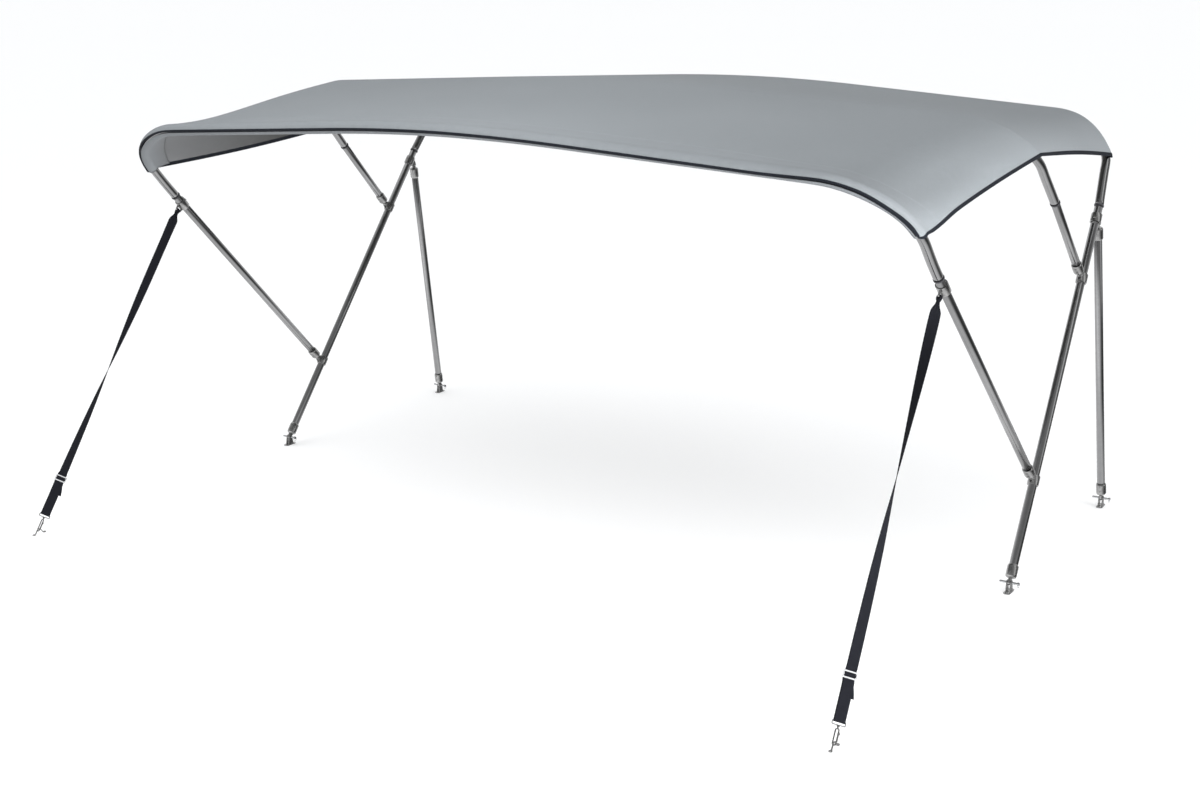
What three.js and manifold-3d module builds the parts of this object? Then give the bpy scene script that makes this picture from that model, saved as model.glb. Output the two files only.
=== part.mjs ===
// Folding sunshade canopy for a small boat: a taut fabric roof on three bent tube bows.
// Millimetres, +Z up. +X is the right-hand side, -Y is the front edge, the deck is Z = 0.
// Lengths below are from a point on the deck midway between the two hinges of the main bow.
// At the end the whole object moves along Y, so that its origin lies under its middle.
import * as THREE from 'three';
import { mergeVertices } from 'three/addons/utils/BufferGeometryUtils.js';
import Module from 'manifold-3d';

const wasm = await Module();
wasm.setup();

const { Vector2, Vector3 } = THREE;
const { lerp, smoothstep } = THREE.MathUtils;

// Tubes
const LEG_R = 11.1;
const ARCH_R = 12;
const COLLAR_R = 13;
const COLLAR_L = 4;
const FIT = 0.4;

// Frame in side view: [y, z] of tube centre lines, and half widths at the same places
const PIN_Z = 25;
const MAIN_FOOT = { y: 0, z: PIN_Z, x: 1199 };
const MAIN_JOINT = { y: 640, z: 883, x: 1167 };
const FRONT_JOINT = { y: -466, z: 865, x: 1150.5 };
const MID_JOINT = { y: 280, z: 935, x: 1160 };
const POLE_FOOT = { y: 787, z: PIN_Z, x: 1196.5 };

// Places of the clamps, measured up the main bow and up the front leg
const FRONT_CLAMP_AT = 275;
const MID_CLAMP_AT = 852;
const REAR_CLAMP_AT = 1033;
const STRAP_CLAMP_BELOW_JOINT = 33;
const PIVOT_OUT = 24;

// Bends of the bows and the shallow rise of their crowns
const BEND_R = { front: 225, mid: 203, main: 203 };
const CROWN_HALF = 350;
const CROWN = {
  front: { top: 1257, slope: 0.09 },
  mid: { top: 667, slope: 0.083 },
  main: { top: 1407, slope: 0.072 },
};
// How far the top of each bow has racked to the right of its legs
const RACK = { front: 28, mid: 0, main: 0 };
// How far each crown hangs lower at its left bend
const LEFT_SAG = { front: 13, mid: 0, main: 0 };

// Cloth: where it ends on the right and on the left of each bow, measured up the bow's plane
const CLOTH_T = 1.6;
const CLOTH_R = 15.4;
const CLOTH_END = {
  front: [1013, 971],
  mid: [472, 388],
  main: [1226, 1184],
};
// Turn of the hem round the front and the rear tube, from the direction straight out of the bow
const FRONT_WRAP = { right: 44 * Math.PI / 180, left: 26 * Math.PI / 180 };
const REAR_WRAP = 24 * Math.PI / 180;
const WRAP_STEPS = 4;
// Dip of the front panel between its two bows, row by row from the front, deepest at the bends
const PANEL_DIP = [16, 8, 2];
const DIP_FROM = 0.1;
const DIP_FADE = [0.22, 0.5];
const DIP_AT_CROWN = 0.15;
const REAR_PANEL_STEPS = 3;
const TAIL = 7.5;
const CORNER_CUT = 10;
const EDGE_LIFT = [6, -9];

// Stations across half the cloth, closer together in the bend
const BEND_SHARE = 0.25;
const BEND_STEPS = 10;
const CROWN_STEPS = 9;

// Binding folded over the edge of the cloth
const BIND_GAP = 0.8;
const BIND_T = 0.8;
const BIND_W = 8;

// Pocket that carries the front bow
const POCKET_T = 1.2;
const POCKET_R = 14.8;
const POCKET_LIP_R = 15.6;
const POCKET_LIP_TURN = 44 * Math.PI / 180;
const POCKET_BACK = 78;
const POCKET_INSET = 0.012;
const POCKET_GAP = 1.7;

// Fittings
const PIN_R = 3;
const HOLE_R = 3.8;
const TONGUE_T = 6;
const TONGUE_R = 7;
const CUP_R = 14;
const CUP_FROM = 12;
const CUP_TO = 47;
const CUP_FLOOR = 20;
const RING_R = 14.5;
const RING_L = 26;
const EAR_IN = 3.9;
const EAR_T = 2.4;
const EAR_FOOT = 11;
const SCREW_R = 3;
const SCREW_OUT = 2;
const PLATE = { length: 46, width: 18, thick: 2.5, holeR: 2.3, holeAt: 16 };
const PIN_REACH = 26;

// Straps
const WEB_W = 25;
const WEB_T = 1.4;
const WEB_NECK_W = 10;
const STRAP_EYE = { rim: 5, halfT: 2.2, slotFrom: 17.4, slotTo: 25, slotHalf: 6.5 };
const PAD_EYE = { x: 1190, y: -1010, high: 15, thick: 2.5, width: 6, footWidth: 9 };
const HOOK_L = 43;
const HOOK_R = 1.7;
const HOOK_HALF = 5.2;
const HOOK_BELOW = 6.1;
const HOOK_LOOP = { wire: 1.25, post: 2.2, loopDeep: 9.5, stemR: 3, stemTo: 16 };
const BUCKLE_UP = 96;
const BAR = 2.5;
const BAR_PITCH = 7;
// Offsets of the webbing from the line of the strap: at the buckle's bars, at the hook's bar, in its tail
const WEAVE = 2.45;
const FOLD_R = 2.4;
const TAIL_OFF = -8;
const TAIL_END = 38;
// Facing of the webbing as [share of its length, degrees turned about its length]
const TWIST = {
  right: [[0, 90], [0.04, 32], [0.24, -28], [0.43, -66], [0.62, -108], [0.81, -134], [1, -140]],
  left: [[0, 90], [0.04, 35], [0.24, 21], [0.43, -18], [0.62, -64], [0.81, -95], [1, -118]],
};

const SIDES = [['right', 1], ['left', -1]];

const metal = (color, roughness) => new THREE.MeshStandardMaterial({ color, roughness, metalness: 1 });
const cloth = (color, roughness) => new THREE.MeshStandardMaterial({ color, roughness, metalness: 0 });
const TUBE = metal(0xa9abad, 0.35);
const STEEL = metal(0x9a9b9b, 0.25);
const BRIGHT = metal(0xd6d8da, 0.2);
const GREY_CLOTH = cloth(0x9aa2a6, 0.85);
const EDGE_CLOTH = cloth(0x23252b, 0.9);
const WEBBING = cloth(0x1f2025, 0.8);

const model = new THREE.Group();

// Helpers for solids

function bare(geometry) {
  const copy = geometry.clone();
  copy.deleteAttribute('normal');
  copy.deleteAttribute('uv');
  return mergeVertices(copy, 1e-4);
}

function solid(geometry) {
  const g = bare(geometry);
  return new wasm.Manifold(new wasm.Mesh({
    numProp: 3,
    vertProperties: new Float32Array(g.attributes.position.array),
    triVerts: new Uint32Array(g.index.array),
  }));
}

function shapeOf(manifold) {
  const mesh = manifold.getMesh();
  const g = new THREE.BufferGeometry();
  g.setAttribute('position', new THREE.BufferAttribute(new Float32Array(mesh.vertProperties), 3));
  g.setIndex(new THREE.BufferAttribute(new Uint32Array(mesh.triVerts), 1));
  g.computeVertexNormals();
  return g;
}

function fuse(pieces, cuts = []) {
  const whole = pieces.map(solid).reduce((a, b) => a.add(b));
  return shapeOf(cuts.map(solid).reduce((a, b) => a.subtract(b), whole));
}

function add(name, geometry, material, parent = model) {
  const mesh = new THREE.Mesh(geometry, material.clone());
  mesh.name = name;
  parent.add(mesh);
}

// A group whose local +Z runs along 'dir' and whose local +Y leans towards 'side'
function placeAt(origin, dir, side) {
  const z = dir.clone().normalize();
  const x = new Vector3().crossVectors(side, z).normalize();
  const y = new Vector3().crossVectors(z, x);
  const group = new THREE.Group();
  group.position.copy(origin);
  group.quaternion.setFromRotationMatrix(new THREE.Matrix4().makeBasis(x, y, z));
  model.add(group);
  return group;
}

function rodZ(r, z0, z1, sides = 14) {
  return new THREE.CylinderGeometry(r, r, z1 - z0, sides).rotateX(Math.PI / 2).translate(0, 0, (z0 + z1) / 2);
}

function rodX(r, x0, x1, sides = 10) {
  return new THREE.CylinderGeometry(r, r, x1 - x0, sides).rotateZ(Math.PI / 2).translate((x0 + x1) / 2, 0, 0);
}

function block(x0, x1, y0, y1, z0, z1) {
  const g = new THREE.BoxGeometry(x1 - x0, y1 - y0, z1 - z0);
  return g.translate((x0 + x1) / 2, (y0 + y1) / 2, (z0 + z1) / 2);
}

// Flat plate cut from a [y, z] outline, standing across X
function plateX(outline, x0, x1) {
  const shape = new THREE.Shape(outline.map(([y, z]) => new Vector2(y, z)));
  const g = new THREE.ExtrudeGeometry(shape, { depth: x1 - x0, bevelEnabled: false });
  return g.rotateX(Math.PI / 2).rotateZ(Math.PI / 2).translate(x0, 0, 0);
}

function arc(cy, cz, r, from, to, steps) {
  const points = [];
  for (let i = 0; i <= steps; i += 1) {
    const a = lerp(from, to, i / steps) * Math.PI / 180;
    points.push([cy + r * Math.cos(a), cz + r * Math.sin(a)]);
  }
  return points;
}

// Turns a closed geometry the right way out after its vertices have been moved
function outward(g) {
  const p = g.attributes.position;
  const index = g.index.array;
  const [a, b, c] = [new Vector3(), new Vector3(), new Vector3()];
  let volume = 0;
  for (let i = 0; i < index.length; i += 3) {
    a.fromBufferAttribute(p, index[i]);
    b.fromBufferAttribute(p, index[i + 1]);
    c.fromBufferAttribute(p, index[i + 2]);
    volume += a.dot(b.cross(c));
  }
  if (volume < 0) {
    for (let i = 0; i < index.length; i += 3) [index[i], index[i + 1]] = [index[i + 1], index[i]];
  }
  g.computeVertexNormals();
  return g;
}

function moved(geometry, place) {
  const g = bare(geometry);
  const p = g.attributes.position;
  for (let i = 0; i < p.count; i += 1) {
    const q = place(p.getX(i), p.getY(i), p.getZ(i));
    p.setXYZ(i, q.x, q.y, q.z);
  }
  return outward(g);
}

// Closed sheet from a grid of points: a flat box whose faces follow the grid at half the thickness
function sheetFrom(grid, thickness) {
  const rows = grid.length - 1;
  const columns = grid[0].length - 1;
  const flat = new THREE.BoxGeometry(columns, rows, 1, columns, rows, 1).translate(columns / 2, rows / 2, 0);
  return moved(flat, (x, y, z) => {
    const [r, c] = [Math.round(y), Math.round(x)];
    return grid[r][c].clone().addScaledVector(normalAt(grid, r, c), thickness * Math.sign(z) / 2);
  });
}

function normalAt(grid, r, c) {
  const row = (i) => grid[THREE.MathUtils.clamp(i, 0, grid.length - 1)];
  const column = (i) => THREE.MathUtils.clamp(i, 0, grid[0].length - 1);
  const step = (before, here, after) => {
    const a = new Vector3().subVectors(here, before);
    const b = new Vector3().subVectors(after, here);
    return a.normalize().add(b.normalize());
  };
  const across = step(grid[r][column(c - 1)], grid[r][c], grid[r][column(c + 1)]);
  const along = step(row(r - 1)[c], grid[r][c], row(r + 1)[c]);
  return new Vector3().crossVectors(along, across).normalize();
}

// Closed loop: a ring of sections, each a list of [inward, outward] steps at a station
function loopFrom(stations, section, point) {
  const around = section.length;
  const ring = new THREE.TorusGeometry(4, 1, around, stations);
  return moved(ring, (x, y, z) => {
    const turn = (a, n) => (Math.round(a / (2 * Math.PI) * n) % n + n) % n;
    const i = turn(Math.atan2(y, x), stations);
    const k = turn(Math.atan2(z, Math.hypot(x, y) - 4), around);
    return point(i, section[k]);
  });
}

// Bows: each lies in a plane that leans fore or aft and runs straight across the boat

function bowPlane(foot, joint, outward3) {
  const length = Math.hypot(joint.y - foot.y, joint.z - foot.z);
  const up = new Vector3(0, (joint.y - foot.y) / length, (joint.z - foot.z) / length);
  return {
    foot,
    up,
    out: outward3(up),
    jointS: length,
    jointX: joint.x,
    lean: (joint.x - foot.x) / length,
  };
}

function inPlane(bow, x, s) {
  return new Vector3(x, bow.foot.y + bow.up.y * s, bow.foot.z + bow.up.z * s);
}

// Places in a bow's list of points where its bend begins and ends
const BEND_FIRST = 4;
const BEND_LAST = 28;

// Half a bow from its right joint to its middle: plane points, outward directions and running length
function halfPath(bow, crown, bendR) {
  const slopeTop = (x) => crown.top - crown.slope * (x - CROWN_HALF / 2);
  let corner = bow.jointX;
  for (let i = 0; i < 20; i += 1) corner = bow.jointX + bow.lean * (slopeTop(corner) - bow.jointS);
  const legDir = new Vector2(bow.lean, 1).normalize();
  const topDir = new Vector2(-1, crown.slope).normalize();
  const turn = Math.acos(legDir.dot(topDir));
  const reach = bendR * Math.tan(turn / 2);
  const start = new Vector2(corner, slopeTop(corner)).addScaledVector(legDir, -reach);
  const centre = start.clone().add(new Vector2(-legDir.y, legDir.x).multiplyScalar(bendR));
  const first = Math.atan2(-legDir.x, legDir.y);
  const points = [];
  const put = (x, s, nx, ns) => points.push({ x, s, nx, ns });
  for (let i = 0; i < BEND_FIRST; i += 1) {
    const t = i / BEND_FIRST;
    put(lerp(bow.jointX, start.x, t), lerp(bow.jointS, start.y, t), legDir.y, -legDir.x);
  }
  for (let i = BEND_FIRST; i <= BEND_LAST; i += 1) {
    const a = first + turn * (i - BEND_FIRST) / (BEND_LAST - BEND_FIRST);
    put(centre.x + bendR * Math.cos(a), centre.y + bendR * Math.sin(a), Math.cos(a), Math.sin(a));
  }
  const bendEnd = points[points.length - 1].x;
  for (let i = 1; i <= 30; i += 1) {
    const x = bendEnd * (1 - i / 30);
    const rounded = x < CROWN_HALF;
    const s = rounded ? crown.top - crown.slope * x * x / (2 * CROWN_HALF) : slopeTop(x);
    const k = rounded ? crown.slope * x / CROWN_HALF : crown.slope;
    put(x, s, k / Math.hypot(k, 1), 1 / Math.hypot(k, 1));
  }
  points[0].l = 0;
  for (let i = 1; i < points.length; i += 1) {
    const [a, b] = [points[i - 1], points[i]];
    b.l = a.l + Math.hypot(b.x - a.x, b.s - a.s);
  }
  return points;
}

function pathAt(points, key, value) {
  let i = 1;
  while (i < points.length - 1 && points[i][key] < value) i += 1;
  const [a, b] = [points[i - 1], points[i]];
  const t = (value - a[key]) / (b[key] - a[key]);
  const mix = (k) => lerp(a[k], b[k], t);
  const n = Math.hypot(mix('nx'), mix('ns'));
  return { x: mix('x'), s: mix('s'), l: mix('l'), nx: mix('nx') / n, ns: mix('ns') / n };
}

const mainLength = Math.hypot(MAIN_JOINT.y - MAIN_FOOT.y, MAIN_JOINT.z - MAIN_FOOT.z);
const mainUp = new Vector3(0, MAIN_JOINT.y - MAIN_FOOT.y, MAIN_JOINT.z - MAIN_FOOT.z).normalize();
const mainFore = new Vector3(0, -mainUp.z, mainUp.y);

function pivotAt(s, out) {
  return {
    y: MAIN_FOOT.y + mainUp.y * s + mainFore.y * out,
    z: MAIN_FOOT.z + mainUp.z * s + mainFore.z * out,
    x: lerp(MAIN_FOOT.x, MAIN_JOINT.x, s / mainLength),
  };
}

const FRONT_PIVOT = pivotAt(FRONT_CLAMP_AT, PIVOT_OUT);
const MID_PIVOT = pivotAt(MID_CLAMP_AT, PIVOT_OUT);
const REAR_PIVOT = pivotAt(REAR_CLAMP_AT, -PIVOT_OUT);

const foreOut = (up) => new Vector3(0, -up.z, up.y);
const aftOut = (up) => new Vector3(0, up.z, -up.y);
const BOWS = {
  front: bowPlane(FRONT_PIVOT, FRONT_JOINT, foreOut),
  mid: bowPlane(MID_PIVOT, MID_JOINT, foreOut),
  main: bowPlane(MAIN_FOOT, MAIN_JOINT, aftOut),
};
for (const [key, bow] of Object.entries(BOWS)) {
  bow.path = halfPath(bow, CROWN[key], BEND_R[key]);
  bow.half = bow.path[bow.path.length - 1].l;
  bow.bendEnd = bow.path[BEND_LAST].l;
  bow.rack = RACK[key];
  bow.leftSag = LEFT_SAG[key];
  bow.ends = CLOTH_END[key].map((s) => pathAt(bow.path, 's', s).l);
}

function bowAt(bow, side, l) {
  const p = pathAt(bow.path, 'l', l);
  const share = smoothstep(l, 0, bow.bendEnd);
  const crown = (bow.half - l) / (bow.half - bow.bendEnd);
  const sag = side < 0 ? bow.leftSag * share * Math.min(1, crown) : 0;
  return {
    bow,
    centre: inPlane(bow, side * p.x + bow.rack * share, p.s - sag),
    normal: new Vector3(side * p.nx, bow.up.y * p.ns, bow.up.z * p.ns),
  };
}

// Point round the tube at radius r: angle 0 faces outward, a quarter turn faces away from the roof
function round(at, angle, r) {
  const p = at.centre.clone().addScaledVector(at.normal, r * Math.cos(angle));
  return p.addScaledVector(at.bow.out, r * Math.sin(angle));
}

// Angle at which a straight line from a point touches the circle round the tube
function touch(at, from, r, sign) {
  const d = from.clone().sub(at.centre);
  const [n, m] = [d.dot(at.normal), d.dot(at.bow.out)];
  return Math.atan2(m, n) + sign * Math.acos(r / Math.hypot(n, m));
}

// Roof cloth

const ACROSS = [];
for (let i = 0; i < BEND_STEPS; i += 1) ACROSS.push(BEND_SHARE * i / BEND_STEPS);
for (let i = 0; i <= CROWN_STEPS; i += 1) ACROSS.push(lerp(BEND_SHARE, 1, i / CROWN_STEPS));

function bowsAt(side, share) {
  const k = side > 0 ? 0 : 1;
  const [front, mid, main] = [BOWS.front, BOWS.mid, BOWS.main]
    .map((bow) => bowAt(bow, side, lerp(bow.ends[k], bow.half, share)));
  const f0 = touch(front, mid.centre, CLOTH_R, 1);
  const r0 = touch(main, mid.centre, CLOTH_R, 1);
  const { right, left } = FRONT_WRAP;
  const wrap = lerp(side > 0 ? right : left, (right + left) / 2, share);
  return { front, mid, main, f0, r0, f1: Math.max(wrap, f0 + 0.3), r1: Math.max(REAR_WRAP, r0 + 0.3) };
}

function tailEnd(at, angle) {
  const p = round(at, angle, CLOTH_R).addScaledVector(at.normal, -TAIL * Math.sin(angle));
  return p.addScaledVector(at.bow.out, TAIL * Math.cos(angle));
}

// Share of the dip across the cloth: none at the side edge, full in the bend, little on the crown
function dipAt(share) {
  const fade = smoothstep(share, DIP_FADE[0], DIP_FADE[1]);
  return smoothstep(share, 0, DIP_FROM) * lerp(1, DIP_AT_CROWN, fade);
}

// One row from the front edge over the three bows to the rear edge
function clothRow(side, share) {
  const { front, mid, main, f0, f1, r0, r1 } = bowsAt(side, share);
  const wrap = (at, from, to) => Array.from({ length: WRAP_STEPS + 1 },
    (_, i) => round(at, lerp(from, to, i / WRAP_STEPS), CLOTH_R));
  const panel = (p, q, steps) => Array.from({ length: steps - 1 },
    (_, i) => p.clone().lerp(q, (i + 1) / steps));
  const fore = wrap(front, f1, f0);
  const aft = wrap(main, r0, r1);
  const a = touch(mid, fore[WRAP_STEPS], CLOTH_R, -1);
  const b = touch(mid, aft[0], CLOTH_R, 1);
  const over = [a, (a + b) / 2, b].map((angle) => round(mid, angle, CLOTH_R));
  const inward = front.normal.clone().add(mid.normal).normalize().negate();
  const frontPanel = panel(fore[WRAP_STEPS], over[0], PANEL_DIP.length + 1)
    .map((p, i) => p.addScaledVector(inward, PANEL_DIP[i] * dipAt(share)));
  return [
    tailEnd(front, f1),
    ...fore,
    ...frontPanel,
    ...over,
    ...panel(over[2], aft[0], REAR_PANEL_STEPS),
    ...aft,
    tailEnd(main, r1),
  ];
}

// Rows become columns so that the grid runs from the front edge (row 0) to the rear edge
function gridAcross(rowAt, first = 0) {
  const shares = ACROSS.map((s, i) => (i === 0 ? first : s));
  const lines = [
    ...shares.map((s) => rowAt(1, s)),
    ...shares.slice(0, -1).reverse().map((s) => rowAt(-1, s)),
  ];
  return lines[0].map((_, r) => lines.map((line) => line[r]));
}

const roof = gridAcross(clothRow);
const LAST = roof.length - 1;
const EDGE = roof[0].length - 1;
const PANEL_FROM = WRAP_STEPS + 1;
const EDGE_STEPS = PANEL_DIP.length + 1;

// The corners are cut back a little, and the side edges of the front panels bow up or hang down
for (const [edge, next, lift] of [[0, 1, EDGE_LIFT[0]], [EDGE, EDGE - 1, EDGE_LIFT[1]]]) {
  const trim = (r, distance) => {
    const p = roof[r][edge];
    p.lerp(roof[r][next], distance / p.distanceTo(roof[r][next]));
  };
  for (const r of [0, LAST]) trim(r, CORNER_CUT);
  for (const r of [1, LAST - 1]) trim(r, CORNER_CUT / 4);
  for (let i = 1; i < EDGE_STEPS; i += 1) trim(PANEL_FROM + i, lift * Math.sin(Math.PI * i / EDGE_STEPS));
}
add('canopy', sheetFrom(roof, CLOTH_T), GREY_CLOTH);

// Binding: a U section that runs once round the edge of the cloth

const rim = [];
for (let c = 0; c < EDGE; c += 1) rim.push([0, c]);
for (let r = 0; r < LAST; r += 1) rim.push([r, EDGE]);
for (let c = EDGE; c > 0; c -= 1) rim.push([LAST, c]);
for (let r = LAST; r > 0; r -= 1) rim.push([r, 0]);

// Inward runs along the cloth's own rows and columns, so that both lips lie even with it
function rimFrame(i) {
  const [r, c] = rim[i];
  const inRow = THREE.MathUtils.clamp(r, 1, LAST - 1);
  const inColumn = THREE.MathUtils.clamp(c, 1, EDGE - 1);
  const point = roof[r][c];
  const towards = (p) => (p === point ? new Vector3() : p.clone().sub(point).normalize());
  const inward = towards(roof[inRow][c]).add(towards(roof[r][inColumn]));
  return { point, inward, normal: normalAt(roof, r, c) };
}

const lip = CLOTH_T / 2 + BIND_GAP;
const skin = lip + BIND_T;
const back = BIND_GAP + BIND_T;
const U_SECTION = [
  [-back, -skin], [BIND_W - back, -skin], [BIND_W - back, -lip], [-BIND_GAP, -lip],
  [-BIND_GAP, lip], [BIND_W - back, lip], [BIND_W - back, skin], [-back, skin],
];
add('edge_binding', loopFrom(rim.length, U_SECTION, (i, [w, h]) => {
  const { point, inward, normal } = rimFrame(i);
  return point.clone().addScaledVector(inward, w).addScaledVector(normal, h);
}), EDGE_CLOTH);

// Pocket under the front edge

function pocketRow(side, share) {
  const { front, f0, f1 } = bowsAt(side, share);
  const [top, behind] = clothRow(side, share).slice(PANEL_FROM, PANEL_FROM + 2);
  const inward = behind.clone().sub(top).normalize();
  const drop = round(front, f0, 1).sub(front.centre);
  const below = (CLOTH_T + POCKET_T) / 2 + POCKET_GAP;
  const end = top.clone().addScaledVector(inward, POCKET_BACK).addScaledVector(drop, -below);
  const last = touch(front, end, POCKET_R, -1) + 2 * Math.PI;
  const lipAngle = f1 + POCKET_LIP_TURN;
  const row = [round(front, lipAngle, POCKET_LIP_R)];
  for (let i = 1; i <= WRAP_STEPS; i += 1) {
    row.push(round(front, lerp(lipAngle, last, i / WRAP_STEPS), POCKET_R));
  }
  row.push(row[WRAP_STEPS].clone().lerp(end, 0.5), end);
  return row;
}

add('front_bow_pocket', sheetFrom(gridAcross(pocketRow, POCKET_INSET), POCKET_T), GREY_CLOTH);

// Bow arches: one bent tube each, with a collar where it meets each leg

class BowCurve extends THREE.Curve {
  constructor(bow) {
    super();
    this.bow = bow;
    const { path, half } = bow;
    const bendFrom = path[BEND_FIRST].l;
    const bendTo = bow.bendEnd;
    const stops = [0, bendFrom];
    for (let i = 1; i <= BEND_STEPS; i += 1) stops.push(lerp(bendFrom, bendTo, i / BEND_STEPS));
    for (const t of [0.25, 0.5, 0.75, 1]) stops.push(lerp(bendTo, half, t));
    this.stops = [...stops.map((l) => [1, l]), ...stops.slice(0, -1).reverse().map((l) => [-1, l])];
  }

  spot(t) {
    const [side, l] = this.stops[Math.round(t * (this.stops.length - 1))];
    return bowAt(this.bow, side, l);
  }

  getPoint(t) {
    return this.spot(t).centre;
  }

  getPointAt(t) {
    return this.getPoint(t);
  }

  getTangentAt(t) {
    return new Vector3().crossVectors(this.bow.out, this.spot(t).normal).multiplyScalar(this.hand());
  }

  hand() {
    const [a, b] = [this.spot(0.45).centre, this.spot(0.55).centre];
    return Math.sign(new Vector3().crossVectors(this.bow.out, this.spot(0.5).normal).dot(b.sub(a)));
  }
}

function archTube(bow) {
  const curve = new BowCurve(bow);
  const circle = new THREE.Shape().absarc(0, 0, ARCH_R, 0, 2 * Math.PI);
  const options = { steps: curve.stops.length - 1, curveSegments: 6, extrudePath: curve };
  const pieces = [new THREE.ExtrudeGeometry(circle, options)];
  for (const side of [1, -1]) {
    const end = bowAt(bow, side, 0).centre;
    const dir = bowAt(bow, side, 10).centre.sub(end).normalize();
    const turn = new THREE.Quaternion().setFromUnitVectors(new Vector3(0, 0, 1), dir);
    const collar = rodZ(COLLAR_R, 0, COLLAR_L, 14).applyQuaternion(turn);
    pieces.push(collar.translate(end.x, end.y, end.z));
  }
  return fuse(pieces);
}

for (const [key, bow] of Object.entries(BOWS)) add(`${key}_bow_arch`, archTube(bow), TUBE);

// Fittings, each about its own pin or tube axis

// Cup that slips over a tube end, with a flat eye below; the eye's hole is the origin
function eyeEnd() {
  const cup = new THREE.LatheGeometry([
    new Vector2(0, CUP_FROM), new Vector2(CUP_R, CUP_FROM), new Vector2(CUP_R, CUP_TO),
    new Vector2(LEG_R + FIT, CUP_TO), new Vector2(LEG_R + FIT, CUP_FLOOR), new Vector2(0, CUP_FLOOR),
  ], 14).rotateX(Math.PI / 2);
  const tongue = plateX([
    ...arc(0, 0, TONGUE_R, 180, 360, 6), [TONGUE_R, CUP_FROM + 2], [-TONGUE_R, CUP_FROM + 2],
  ], -TONGUE_T / 2, TONGUE_T / 2);
  return fuse([cup, tongue], [rodX(HOLE_R, -TONGUE_T, TONGUE_T, 8)]);
}

function ringSolid(length) {
  const half = length / 2;
  return new THREE.LatheGeometry([
    new Vector2(LEG_R + FIT, -half), new Vector2(RING_R, -half), new Vector2(RING_R, half),
    new Vector2(LEG_R + FIT, half), new Vector2(LEG_R + FIT, -half),
  ], 14).rotateX(Math.PI / 2);
}

// Head of the screw that locks a ring on its tube, on the side away from the ears
function clampScrew() {
  return rodX(SCREW_R, RING_R - 1, RING_R + SCREW_OUT, 6).rotateZ(-Math.PI / 2);
}

// Clamp ring with two ears and a bolt between them
function jawSlide() {
  const outline = [
    [LEG_R + 2, -RING_L / 2 + 1], ...arc(PIVOT_OUT, 0, TONGUE_R, -60, 60, 5), [LEG_R + 2, RING_L / 2 - 1],
  ];
  const ears = [-EAR_IN - EAR_T, EAR_IN].map((x) => plateX(outline, x, x + EAR_T));
  const reach = EAR_IN + EAR_T + SCREW_OUT;
  const bolt = rodX(PIN_R, -reach, reach).translate(0, PIVOT_OUT, 0);
  return fuse([ringSolid(RING_L), ...ears, bolt, clampScrew()]);
}

// Clamp ring with a slotted eye for the strap
function strapSlide() {
  const { rim, halfT, slotFrom, slotTo, slotHalf } = STRAP_EYE;
  const plate = plateX([
    [LEG_R + 2, -RING_L / 2 + 1], ...arc(slotTo - 1.5, -rim, rim, -60, 0, 2),
    ...arc(slotTo - 1.5, rim, rim, 0, 60, 2), [LEG_R + 2, RING_L / 2 - 1],
  ], -halfT, halfT);
  const slot = block(-rim, rim, slotFrom, slotTo, -slotHalf, slotHalf);
  return fuse([ringSolid(RING_L + 4), plate, clampScrew()], [slot]);
}

// Base plate with two upright ears, open between them for the eye
function deckHinge() {
  const { length, width, thick, holeR, holeAt } = PLATE;
  const base = new THREE.CylinderGeometry(width / 2, width / 2, thick, 12).rotateX(Math.PI / 2);
  const ends = [-1, 1].map((s) => base.clone().translate(0, s * (length - width) / 2, thick / 2));
  const bar = block(-width / 2, width / 2, (width - length) / 2, (length - width) / 2, 0, thick);
  const outline = [[-EAR_FOOT, thick / 2], [EAR_FOOT, thick / 2], ...arc(0, PIN_Z, TONGUE_R, 0, 180, 6)];
  const ears = [-EAR_IN - EAR_T, EAR_IN].map((x) => plateX(outline, x, x + EAR_T));
  const holes = [-1, 1].map((s) => rodZ(holeR, -1, thick + 1, 8).translate(0, s * holeAt, 0));
  const pinHole = rodX(HOLE_R, -width / 2, width / 2).translate(0, 0, PIN_Z);
  return fuse([bar, ...ends, ...ears], [...holes, pinHole]);
}

function releasePin() {
  return fuse([rodX(PIN_R, -PIN_REACH, PIN_REACH), rodX(PIN_R + 1.5, PIN_REACH - 5, PIN_REACH)]);
}

// Legs and poles with their fittings

const vec = (p, side) => new Vector3(side * p.x, p.y, p.z);
const ACROSS_BOAT = new Vector3(1, 0, 0);

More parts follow.
